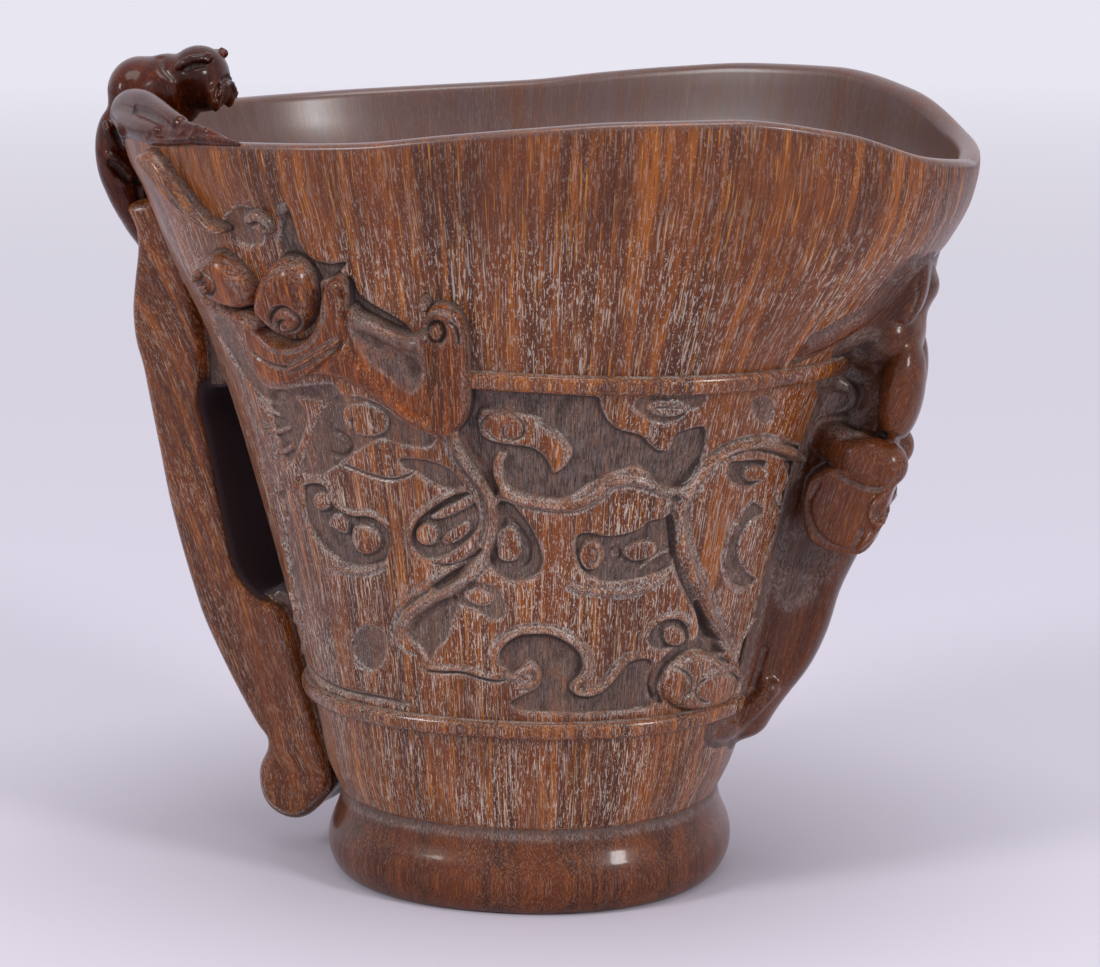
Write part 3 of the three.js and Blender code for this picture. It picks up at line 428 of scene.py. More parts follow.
# Thin raised lines: height and half width in mm, path
LINES = [
    (1.0, 0.6, 452,430, 456,446, 465,461, 475,475, 485,488, 490,499, 493,512, 493,527, 490,540, 485,552,
     478,562, 470,571, 461,582, 450,590, 438,596, 424,604, 411,613, 404,624, 399,640, 404,650),
    (0.5, 0.42, 498,455, 494,466, 496,480, 502,491, 512,498, 526,502, 542,505, 560,507, 575,506,
     588,501, 600,493, 610,484, 622,481, 636,481, 650,485, 664,490, 682,493, 694,487, 703,472),
    (0.25, 0.3, 455,566, 440,578, 425,588, 410,598, 396,610),
    (0.35, 0.3, 562,580, 575,588, 600,592, 625,593, 642,589, 656,582, 670,571),
    (0.3, 0.25, 640,571, 650,562, 664,554, 673,552),
    (1.0, 0.6, 714,462, 698,476, 686,494, 680,514, 680,532, 684,552, 691,572, 700,592, 709,612, 718,633,
     728,656, 735,676),
    (0.95, 0.5, 700,470, 716,459, 731,450, 748,445, 764,444, 784,449, 803,460, 812,474, 812,490,
     803,503, 788,509),
    (0.3, 0.25, 757,502, 748,509, 738,521, 730,537, 725,556, 727,573, 735,586, 747,590),
    (0.35, 0.3, 768,607, 757,617, 748,630, 741,645, 738,660),
    (0.55, 0.4, 497,663, 496,653, 502,644, 511,637, 523,632, 537,631, 551,632, 564,637, 576,645,
     584,654, 587,668, 582,679, 575,686, 578,693, 592,693, 604,687, 613,677, 620,668, 629,660, 642,657),
    (0.35, 0.28, 502,668, 508,676, 514,678, 521,673, 528,671, 533,667, 537,672, 537,680, 529,686,
     514,688),
    (0.35, 0.3, 330,567, 350,571, 370,570, 386,563),
    (0.35, 0.25, 646,640, 650,629, 659,621, 670,617, 683,618, 692,627),
    (0.3, 0.25, 696,675, 708,671, 722,669, 734,672, 738,682),
    (0.3, 0.25, 304,484, 316,481, 327,486, 336,505, 352,514, 368,514, 380,520, 390,530),
    (0.3, 0.25, 470,492, 452,495, 436,503, 422,513, 412,524, 407,538, 411,552),
    (0.3, 0.3, 300,606, 302,622, 303,640, 303,656),
    (0.3, 0.25, 425,668, 445,669, 465,670, 485,676, 500,678),
    (0.3, 0.25, 774,674, 784,662, 792,650),
    (0.5, 0.3, 258,398, 268,410, 282,417),
    (0.5, 0.3, 262,426, 276,432, 290,427),
    (0.5, 0.3, 268,448, 280,453, 292,446),
    (0.5, 0.3, 276,486, 283,500, 286,520),
    (0.5, 0.3, 282,540, 289,556, 291,576),
    (0.5, 0.3, 290,590, 296,606, 297,624),
]


# Reach of the wall where it is narrowest, so that a margin in mm is wide enough as an angle
NECK_REACH = 26.0


class Marks:
    """Heights that carved marks add to the near wall, and how grey their ground is."""
    # How far off the wall the marks were traced
    OFF = 0.0

    def __init__(self, angle, height):
        self.angle, self.height = angle, height
        self.points = wall_point(angle, height).astype(np.float32)
        self.lift = np.zeros(angle.shape, np.float32)
        self.ground = np.zeros(angle.shape, np.float32)

    def near(self, angles, heights, margin):
        """Numbers of the points within a margin of what spans those angles and heights."""
        turn = margin / NECK_REACH
        across = (self.angle > angles.min() - turn) & (self.angle < angles.max() + turn)
        up = (self.height > heights.min() - margin) & (self.height < heights.max() + margin)
        return np.where(across & up)[0]

    def distance(self, chosen, path):
        """Distance of the chosen points from a path, and the share of the path they are at."""
        best = np.full(len(chosen), 1e9, np.float32)
        share = np.zeros(len(chosen), np.float32)
        points = self.points[chosen]
        for k, (a, b) in enumerate(zip(path[:-1], path[1:])):
            along = b - a
            t = np.clip((points - a) @ along / max(float(along @ along), 1e-9), 0, 1)
            gap = np.linalg.norm(points - a - t[:, None] * along, axis=1)
            closer = gap < best
            best[closer] = gap[closer]
            share[closer] = (k + t[closer]) / (len(path) - 1)
        return best, share

    def area(self, outline, margin):
        """Points near an outline and their distance inside it, negative outside."""
        angles, heights = on_wall(spline(outline, closed=True, step=4), self.OFF)
        chosen = self.near(angles, heights, margin)
        path = wall_point(angles, heights).astype(np.float32)
        gap, _ = self.distance(chosen, np.vstack([path, path[:1]]))
        x, y = self.angle[chosen], self.height[chosen]
        inside = np.zeros(len(chosen), bool)
        for i in range(len(angles)):
            ax, ay, bx, by = angles[i - 1], heights[i - 1], angles[i], heights[i]
            if ay != by:
                inside ^= ((ay > y) != (by > y)) & (x < (bx - ax) * (y - ay) / (by - ay) + ax)
        return chosen, np.where(inside, gap, -gap)

    def pool(self, share, edge, outline):
        """Sunk ground, which dirt has turned grey."""
        chosen, inside = self.area(outline, 1.0)
        sunk = smooth_step(inside, -edge / 2, edge / 2)
        self.lift[chosen] -= GROUND_DEPTH * share * sunk
        self.ground[chosen] = np.maximum(self.ground[chosen], sunk * (0.55 + 0.45 * share))

    def mound(self, height, crown, outline):
        """Rounded rise."""
        chosen, inside = self.area(outline, 1.0)
        t = np.clip((inside + 0.15) / crown, 0, 1)
        rise = np.sqrt(np.clip(1 - (1 - t) ** 2, 0, 1))
        self.lift[chosen] += height * rise
        self.ground[chosen] *= 1 - smooth_step(inside, -0.1, 0.35)

    def stroke(self, height, half_width, path, taper=0.12):
        """Ridge with shallow flanks, or groove if the height is negative, tapering at its ends."""
        angles, heights = on_wall(spline(path, step=4), self.OFF)
        chosen = self.near(angles, heights, 4 * half_width)
        gap, share = self.distance(chosen, wall_point(angles, heights).astype(np.float32))
        size = smooth_step(np.minimum(share, 1 - share), -0.02, taper)
        profile = np.exp(-(gap / (half_width * (0.55 + 0.45 * size))) ** 2) * (0.35 + 0.65 * size)
        self.lift[chosen] += height * profile
        if height < 0:
            self.ground[chosen] = np.maximum(self.ground[chosen], 0.8 * profile)
        else:
            flank = np.exp(-((gap / half_width - 2.1) / 0.75) ** 2) * size
            self.lift[chosen] -= 0.3 * height * flank
            self.ground[chosen] = np.maximum(self.ground[chosen] * (1 - 0.7 * profile), 0.6 * flank)

    def strokes(self, cuts, lines):
        for depth, half_width, *path in cuts:
            self.stroke(-depth, half_width, pairs(path))
        for rise, half_width, *path in lines:
            self.stroke(rise, half_width, pairs(path))


def frieze(angle, height):
    marks = Marks(angle, height)
    for share, edge, *outline in POOLS:
        marks.pool(share, edge, pairs(outline))
    for rise, crown, *outline in MOUNDS:
        marks.mound(rise, crown, pairs(outline))
    marks.strokes(CUTS, LINES)
    return marks


# Bowl
TURN_STEPS, WALL_ROWS = ((960, 340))
TURNS = 2 * np.pi * np.arange(TURN_STEPS) / TURN_STEPS
LIP_ROWS, INNER_ROWS, HOLLOW_ROWS = 13, 40, 12
# Shares of the wall's rows, and of its rise that they reach
ROW_SHARES = (0, 0.1, 0.72, 1), (0, 0.12, 0.66, 1)


def ring_at(height, grow):
    """Ring of the wall at a height, or that far off it."""
    return wall_point(TURNS, height + 0 * TURNS, grow)


def carved_wall(angles, heights):
    """Lift and greyness of the frieze on a grid of the whole wall, from its near half."""
    half = TURN_STEPS // 2
    keep = np.zeros(heights.shape, bool)
    keep[:, half:] = True
    keep[:, 0] = True
    marks = frieze(-half_turn(angles)[keep], heights[keep])
    for values in (marks.lift, marks.ground):
        whole = np.zeros(heights.shape)
        whole[keep] = values
        whole[:, 1:half] = whole[:, :half:-1]
        yield whole


def make_bowl():
    top = lip_height(TURNS) - LIP_ROUND
    shares = np.interp(np.linspace(0, 1, WALL_ROWS), *ROW_SHARES)[:, None]
    heights = NECK_BASE + (top - NECK_BASE)[None, :] * shares
    angles = np.broadcast_to(TURNS, heights.shape)
    lift, ground = carved_wall(angles, heights)
    outer = wall_point(angles, heights) + wall_normal(angles, heights) * lift[..., None]
    lip = []
    for turn in np.linspace(0, 1, LIP_ROWS)[1:-1] * np.pi:
        inset = LIP_WALL * (1 - math.cos(turn)) / 2
        height = lip_height(TURNS) - LIP_ROUND * (1 - math.sin(turn) ** 0.6)
        lip.append(wall_point(TURNS, height, -inset))
    base = FLOOR_HEIGHT + FLOOR_ROUND
    inner = []
    for share in np.linspace(1, 0, INNER_ROWS):
        height = base + (top - base) * share
        inner.append(wall_point(TURNS, height, -(FLOOR_WALL + (LIP_WALL - FLOOR_WALL) * share)))
    edge = inner[-1]
    for share in np.linspace(0, 1, HOLLOW_ROWS)[1:]:
        drop = (1 - math.sin(share * math.pi / 2)) ** 1.3
        ring = edge * (1 - 0.45 * share ** 2)
        ring[:, 2] = FLOOR_HEIGHT + FLOOR_ROUND * drop
        inner.append(ring)
    floor = [inner[-1] * np.array([s, s, 1]) for s in (0.7, 0.4, 0.15)]
    under = [ring_at(NECK_BASE, -inset) - [0, 0, 1.0] for inset in (12, 5, 0.8)]
    rows = np.concatenate([np.array(under), outer, np.array(lip + inner + floor)])
    points = np.vstack([rows.reshape(-1, 3), [0, 0, NECK_BASE], [0, 0, FLOOR_HEIGHT]])
    attributes = {key: np.zeros(len(points)) for key in ("ground", "cavity", "inside")}
    start, end = len(under) * TURN_STEPS, (len(under) + len(outer)) * TURN_STEPS
    attributes["ground"][start:end] = ground.ravel()
    attributes["cavity"][start:end] = (blurred(lift, 3, 3) - lift).ravel()
    attributes["inside"][end:] = 1
    attributes["inside"][end:end + 4 * TURN_STEPS] = 0.6
    attributes["fibre"] = fibre_place(points)
    return make_mesh("carved_bowl", points, closed_faces(len(rows), TURN_STEPS), attributes)


# Foot ring and raised bands: heights with reaches off the neck, in mm
FOOT_HOLLOW = [(4.0, -9.0), (3.6, -8.2), (1.0, -7.2), (0.15, -6.6), (0, -6.2), (0, -4), (0, -2)]
FOOT_PROFILE = [
    (0, -0.75), (0.0, -0.55), (0.35, 0.0), (1.0, 0.6), (2.0, 1.1), (3.2, 1.42), (4.4, 1.5),
    (5.6, 1.38), (6.8, 1.02), (7.8, 0.6), (8.8, 0.2), (9.8, -0.1), (10.8, -0.28), (11.6, -0.38),
    (12.0, -0.5)]
FOOT_TOP = [(FOOT_HEIGHT, -1.5), (FOOT_HEIGHT, -8)]


def make_foot():
    rows = []
    for height, reach in [*FOOT_HOLLOW, *spline(FOOT_PROFILE, step=0.16), *FOOT_TOP]:
        ring = ring_at(NECK_BASE, reach)
        ring[:, 2] = max(height, 0)
        rows.append(ring)
    points = np.vstack([*rows, [0, 0, FOOT_HOLLOW[0][0]], [0, 0, FOOT_HEIGHT]])
    # Painted shade: grey along the crease where the foot meets the bowl
    crease_shade = np.exp(-((points[:, 2] - FOOT_HEIGHT) / 1.3) ** 2) * 0.8
    attributes = {"ground": crease_shade, "cavity": 0.1 * crease_shade, "fibre": fibre_place(points)}
    return make_mesh("moulded_foot", points, closed_faces(len(rows), TURN_STEPS), attributes)


# Points around a band's section, and the powers that square its shape a little
BAND_STEPS, OUT_POWER, UP_POWER = 26, 0.75, 0.85


def make_band(name, height_at, fade=(math.pi, 2 * math.pi)):
    """Raised half-round band, sunk a little into the wall, which runs out between two angles."""
    turn = np.linspace(0, 2 * np.pi, BAND_STEPS, endpoint=False)
    angles = TURNS[:, None] + 0 * turn[None, :]
    out, up = np.cos(turn), np.sin(turn)
    reach = np.sign(out) * np.abs(out) ** OUT_POWER
    heights = height_at(angles) + BAND_HEIGHT / 2 * (np.sign(up) * np.abs(up) ** UP_POWER)[None, :]
    kept = smooth_step(half_turn(angles), fade[1], fade[0])
    lift = np.where(reach > 0, BAND_RELIEF * reach, 0.35 * reach)[None, :] * kept - 0.6 * (1 - kept)
    normal = wall_normal(angles, height_at(angles))
    points = (wall_point(angles, heights) + normal * lift[..., None]).reshape(-1, 3)
    rows, columns = angles.shape
    faces = ring_faces(rows, columns, wrap_rows=True)
    edge = np.broadcast_to(np.clip(1 - np.abs(reach) * 1.6, 0, 1)[None, :], angles.shape).ravel()
    attributes = {"ground": 0.7 * edge, "cavity": 0.08 * edge, "fibre": fibre_place(points)}
    return make_mesh(name, points, [faces], attributes)


# Solids carved in voxels. Lengths in mm: the distance kept where there is nothing,
# the margin around a blend, and how far around a point its hollow is judged.
FAR_OFF, MARGIN, HOLLOW_REACH = 50.0, 1.5, 0.75


class Carving:
    """A solid kept as distances on a grid of voxels, in millimetres."""

    def __init__(self, low, high, voxel):
        self.low = np.array(low, float)
        self.voxel = voxel * 1
        self.shape = tuple(np.ceil((np.array(high, float) - self.low) / self.voxel).astype(int) + 1)
        self.field = np.full(self.shape, FAR_OFF, np.float32)
        self.far_shift = 0.0
        self.apron = self.field
        self.apron_grey = 0

    def window(self, low, high):
        """Part of the grid between two corners, and the places of its points."""
        start = np.floor((np.array(low) - self.low) / self.voxel).astype(int)
        stop = np.ceil((np.array(high) - self.low) / self.voxel).astype(int) + 1
        spans = [np.clip(span, 0, most) for span, most in zip(zip(start, stop), self.shape)]
        axes = [low + self.voxel * np.arange(*span) for low, span in zip(self.low, spans)]
        places = np.stack(np.meshgrid(*axes, indexing="ij"), -1).astype(np.float32)
        return tuple(slice(*span) for span in spans), places

    def blend_in(self, part, new, blend, cut=False):
        """Adds a shape's distances to the solid, or cuts the shape out of it."""
        shape, pick = (-new, np.maximum) if cut else (new, np.minimum)
        self.field[part] = merged(shape, self.field[part], blend, pick)

    def on_side(self, places, side):
        """Places on the near side, or what they mirror on the far one."""
        return places * [1, side, 1] + [self.far_shift if side < 0 else 0, 0, 0]

    def tube(self, path, squash, margin, side):
        """Distances from a tapering tube, with the part of the grid that is near it."""
        spots = self.on_side(path[:, :3], side).astype(np.float32)
        sizes = path[:, 3].astype(np.float32)
        squash = np.array(squash, np.float32)
        margins = margin + sizes.max() * squash.max()
        part, points = self.window(spots.min(0) - margins, spots.max(0) + margins)
        best = np.full(points.shape[:-1], FAR_OFF, np.float32)
        for a, b, ra, rb in zip(spots[:-1], spots[1:], sizes[:-1], sizes[1:]):
            reach = margin + max(ra, rb) * squash.max()
            low = np.floor((np.minimum(a, b) - reach - self.low) / self.voxel).astype(int)
            high = np.ceil((np.maximum(a, b) + reach - self.low) / self.voxel).astype(int) + 1
            near = tuple(slice(max(l - p.start, 0), max(h - p.start, 0))
                         for l, h, p in zip(low, high, part))
            local, along = (points[near] - a) / squash, (b - a) / squash
            t = np.clip(local @ along / max(float(along @ along), 1e-6), 0, 1)
            gap = local - t[..., None] * along
            new = np.sqrt(np.einsum("...i,...i", gap, gap)) - ra - (rb - ra) * t
            best[near] = np.minimum(best[near], new)
        return part, best * squash.min()

    def limb(self, spots, blend=1.0, cut=False, squash=(1, 1, 1), both=False):
        """Tapering round limb through spots of x, y, z and radius."""
        path = spline(spots, step=0.8)
        for side in (1, -1) if both else (1,):
            part, distances = self.tube(path, squash, blend + MARGIN, side)
            if distances.size:
                self.blend_in(part, distances, blend, cut)

    def mass(self, centre, radii, blend=1.0, lean=0.0, both=False):
        """Egg-shaped mass, leant about Y by degrees."""
        radii = np.array(radii, np.float32)
        c, s = math.cos(math.radians(lean)), math.sin(math.radians(lean))
        turned = np.array([[c, 0, s], [0, 1, 0], [-s, 0, c]], np.float32)
        for side in (1, -1) if both else (1,):
            middle = self.on_side(np.array(centre, np.float32), side)
            reach = radii.max() + blend + MARGIN
            part, points = self.window(middle - reach, middle + reach)
            if not points.size:
                continue
            local = ((points - middle) * [1, side, 1]).astype(np.float32) @ turned
            scaled = np.sqrt(((local / radii) ** 2).sum(-1))
            slope = np.sqrt(((local / radii ** 2) ** 2).sum(-1))
            self.blend_in(part, scaled * (scaled - 1) / np.maximum(slope, 1e-4), blend)

    def plate(self, across, half, edge, blend, *outline):
        """Flat plate with an outline in pixels, that far across the cup, and its mirror image."""
        spots = np.array([on_plane(pixel, across)[[0, 2]] for pixel in pairs(outline)])
        (x0, z0), (x1, z1) = spots.min(0) - 3, spots.max(0) + 3
        for side in (1, -1):
            shift, middle = (self.far_shift if side < 0 else 0), side * across
            low, high = (x0 + shift, middle - half - 3, z0), (x1 + shift, middle + half + 3, z1)
            part, points = self.window(low, high)
            gap = outline_gap(spots, points[:, 0, :, 0] - shift, points[:, 0, :, 2])
            thick = np.abs(points[..., 1] - middle) - half
            self.blend_in(part, rounded(gap[:, None, :] + edge, thick + edge, edge), blend)

    def seen(self, spots, step=0.12):
        """Spots of the solid or the bowl that pixels show, from x, y, radius and a lift off them."""
        out = []
        depth = self.shape[1] * self.voxel
        for x, y, radius, lift in spots:
            ray = pixel_rays([x, y])
            reach = (self.low[1] - CAMERA_PLACE[1]) / ray[1] + np.arange(0, depth, step)
            points = CAMERA_PLACE + ray * reach[:, None]
            values = np.minimum(between(self.field, (points - self.low) / self.voxel), bowl_gap(points))
            first = (values < 0).argmax() if (values < 0).any() else values.argmin()
            out.append((*(points[first] - ray * lift), radius))
        return out

    def draw(self, blend, *spots):
        """Ridge along pixels of the photograph, or groove if the blend is negative, on both sides."""
        spots = [(*spot, 0.0)[:4] for spot in spots]
        self.limb(self.seen(spline(spots, step=4)), abs(blend), blend < 0, both=True)

    def settle(self, blend, skirt, grey, over_lip=False):
        """Runs the foot of the solid out onto the bowl's wall and keeps only what shows."""
        self.apron_grey = grey
        _, points = self.window(self.low, self.low + self.voxel * np.array(self.shape))
        points = points.astype(np.float64)
        wall = bowl_gap(points).astype(np.float32)
        own = self.apron = self.field
        joined = merged(wall, own, blend) + 0.06
        buried = wall if over_lip else wall_gap(points).astype(np.float32)
        self.field = np.maximum(np.maximum(joined, own - skirt), -buried - 0.9)

    def make(self, name, greys=()):
        """Mesh of the solid, with its hollows and grey places of x, y, z and radius as attributes."""
        most = 4 * self.voxel
        field = np.clip(self.field, -most, most)
        for end in (0, -1):
            field[end] = field[:, end] = field[:, :, end] = 1
        grid = openvdb.FloatGrid(background=float(most))
        grid.copyFromArray(field)
        points, quads = grid.convertToQuads(isovalue=0.0)
        quads = quads.astype(np.int64)
        a, b, c = points[quads[:, 0]], points[quads[:, 1]], points[quads[:, 2]]
        if (a * np.cross(b, c)).sum() < 0:
            quads = quads[:, ::-1]
        soft = np.clip(self.field, -3, 3)
        reach = max(1, int(HOLLOW_REACH / self.voxel))
        width = 2 * reach + 1
        for axis in range(3):
            pads = [(reach + 1, reach) if i == axis else (0, 0) for i in range(3)]
            total = np.cumsum(np.pad(soft, pads, mode="edge"), axis=axis, dtype=np.float64)
            total = np.moveaxis(total, axis, 0)
            soft = np.moveaxis((total[width:] - total[:-width]) / width, 0, axis).astype(np.float32)
        hollow = between(self.field, points) - between(soft, points)
        apron = between(self.apron, points)
        places = relaxed(points * self.voxel + self.low, quads)
        apron_ground = self.apron_grey * smooth_step(apron, 0.1, 1.2)
        ground = np.maximum(smooth_step(hollow, 0.02, 0.3), apron_ground)
        folded = np.abs(places * [0, 1, 0]) + places * [1, 0, 1]
        for x, y, z, radius in greys:
            gap = np.linalg.norm(folded - [x, abs(y), z], axis=1)
            ground = np.maximum(ground, 0.85 * smooth_step(gap, radius, 0))
        cavity = np.clip(hollow, -0.5, 0.5)
        attributes = {"ground": ground, "cavity": cavity, "fibre": fibre_place(places)}
        return make_mesh(name, places, [quads], attributes)


def between(values, points):
    """Values of a grid at points in steps of the grid."""
    last = np.array(values.shape) - 2
    base = np.clip(np.floor(points).astype(int), 0, last)
    t = np.clip(points - base, 0, 1)
    out = np.zeros(len(points))
    for i in (0, 1):
        for j in (0, 1):
            for k in (0, 1):
                share = (np.abs(1 - i - t[:, 0]) * np.abs(1 - j - t[:, 1]) * np.abs(1 - k - t[:, 2]))
                out += share * values[base[:, 0] + i, base[:, 1] + j, base[:, 2] + k]
    return out


def relaxed(points, quads, rounds=2):
    """Eases the small steps that voxels leave."""
    a, b = np.concatenate([quads[:, [i, (i + 1) % 4]] for i in range(4)]).T
    total = len(points)
    count = np.bincount(a, minlength=total) + np.bincount(b, minlength=total)
    for pull in (0.5, -0.52) * rounds:
        mean = np.zeros_like(points)
        for i in range(3):
            mean[:, i] = np.bincount(a, points[b, i], total) + np.bincount(b, points[a, i], total)
        mean /= np.maximum(count, 1)[:, None]
        points = points + pull * (mean - points)
    return points


def outline_gap(outline, x, z):
    """Signed distance from a closed outline on a plane, negative inside."""
    path = spline(outline, closed=True, step=1.0).astype(np.float32)
    best = np.full(x.shape, 1e9, np.float32)
    inside = np.zeros(x.shape, bool)
    for (ax, az), (bx, bz) in zip(np.roll(path, 1, 0), path):
        dx, dz = bx - ax, bz - az
        t = np.clip(((x - ax) * dx + (z - az) * dz) / max(dx * dx + dz * dz, 1e-9), 0, 1)
        best = np.minimum(best, (x - ax - t * dx) ** 2 + (z - az - t * dz) ** 2)
        if az != bz:
            inside ^= ((az > z) != (bz > z)) & (x < dx * (z - az) / dz + ax)
    return np.where(inside, -1, 1) * np.sqrt(best)


# Handle, with its outline in pixels on the plane of the strap's near face
STRAP_OUTLINE = (128,205, 136,228, 138,250, 135,280, 133,310, 136,340, 143,365, 150,400, 160,450,
    170,500, 183,550, 195,590, 205,620, 225,665, 240,695, 256,724, 266,738, 266,750, 259,765, 257,782,
    261,800, 270,812, 282,819, 295,821, 308,816, 321,803, 331,788, 328,764, 317,722, 306,680, 296,642,
    284,610, 266,598, 251,584, 238,560, 225,500, 211,430, 204,402, 206,370, 203,330, 196,290, 186,255,
    172,225, 156,200)
# Outlines of the two webs between the strap and the wall, in mm
UPPER_WEB = [
    (-52, 96), (-51, 80), (-48.5, 71), (-46.3, 67.6), (-43.8, 66.4), (-41.2, 67.4), (-39.5, 72),
    (-42, 84), (-46, 96)]
LOWER_WEB = [
    (-42.5, 40.5), (-40.4, 37.6), (-37.6, 36.8), (-35, 38.6), (-32.5, 37), (-30, 28), (-27.2, 16),
    (-29, 13.5), (-33.5, 19), (-39, 31)]
STRAP_PLANE, STRAP_ROUND, WEB_ROUND, WEB_HALF_WIDTH, WEB_BLEND = -6.5, 2.0, 1.2, 5.5, 1.2
# How much further in the strap's inner edge is on the far side
FAR_STEP = 1.1
SLOT_HEIGHTS = (36.5, 67.5)


def paint_slot_shade(handle, low, high):
    """Paints shade near black inside the slot, through a high cavity value, and greys the webs' sides."""
    mesh = handle.data
    count = len(mesh.vertices)

    def read(items, key, width=1):
        values = np.zeros(width * count, np.float32)
        items.foreach_get(key, values)
        return values.reshape(-1, width) if width > 1 else values

    def raise_to(name, least):
        layer = mesh.attributes[name].data
        values = np.maximum(read(layer, "value"), least)
        layer.foreach_set("value", values.astype(np.float32))

    points, normals = read(mesh.vertices, "co", 3) / MM, read(mesh.vertices, "normal", 3)
    off, height = np.abs(points[:, 1]), points[:, 2]
    within = smooth_step(height, low - 1.5, low + 1) * smooth_step(height, high + 1.5, high - 1)
    inward = smooth_step(off, 8.0, 6.6) * smooth_step(normals[:, 0], 0.2, 0.7)
    ends = smooth_step(off, 5.8, 4.8) * smooth_step(np.abs(normals[:, 2]), 0.3, 0.6)
    sides = smooth_step(off, 6.6, 5.9) * smooth_step(np.abs(normals[:, 1]), 0.35, 0.75)
    # Painted shade: the slot's inner faces get a high cavity value, which the material turns near black
    raise_to("cavity", within * np.maximum(inward, ends))
    raise_to("ground", sides * 0.9)


def make_handle():
    low, high = (-60, -10.4, 2), (-25, 10.4, 99)
    carving = Carving(low, high, 0.32)
    part, points = carving.window(low, high)
    x, z = points[:, 0, :, 0], points[:, 0, :, 2]
    width = points[0, :, 0, 1]
    strap = [on_plane(pixel, STRAP_PLANE)[[0, 2]] for pixel in pairs(STRAP_OUTLINE)]
    near_gap = outline_gap(strap, x, z)
    far_gap = np.minimum(near_gap, outline_gap(strap, x - FAR_STEP, z))
    far_share = smooth_step(width, 0, 7)[None, :, None]
    half = HANDLE_WIDTH / 2 - 0.9 * smooth_step(z, 16, 6) - 0.5 * smooth_step(z, 40, 20)

    def slab(gap, half_width, edge):
        across = np.abs(width)[None, :, None] - (half_width - edge)[:, None, :]
        return rounded(gap + edge + 0 * width[None, :, None], across, edge)

    strap_gap = near_gap[:, None, :] * (1 - far_share) + far_gap[:, None, :] * far_share
    field = slab(strap_gap, half, STRAP_ROUND)
    for web in (UPPER_WEB, LOWER_WEB):
        new = slab(outline_gap(web, x, z)[:, None, :], WEB_HALF_WIDTH + 0 * z, WEB_ROUND)
        field = merged(new, field, WEB_BLEND)
    carving.field[part] = np.maximum(field, -wall_gap(points.astype(float)) - 1.0)
    handle = carving.make("strap_handle")
    # Painted shade inside the slot, near black, and grey sides of the webs
    paint_slot_shade(handle, *SLOT_HEIGHTS)
    return handle


# Dragons. Spots are pixels of the photograph and a distance across the cup, with a radius
def at(x, y, across, *radius):
    """Point shown by a pixel, that far across the cup, with a radius if one is given."""
    return (*on_plane((x, y), across), *radius)


def spots_at(*spots):
    return [at(*spot) for spot in spots]


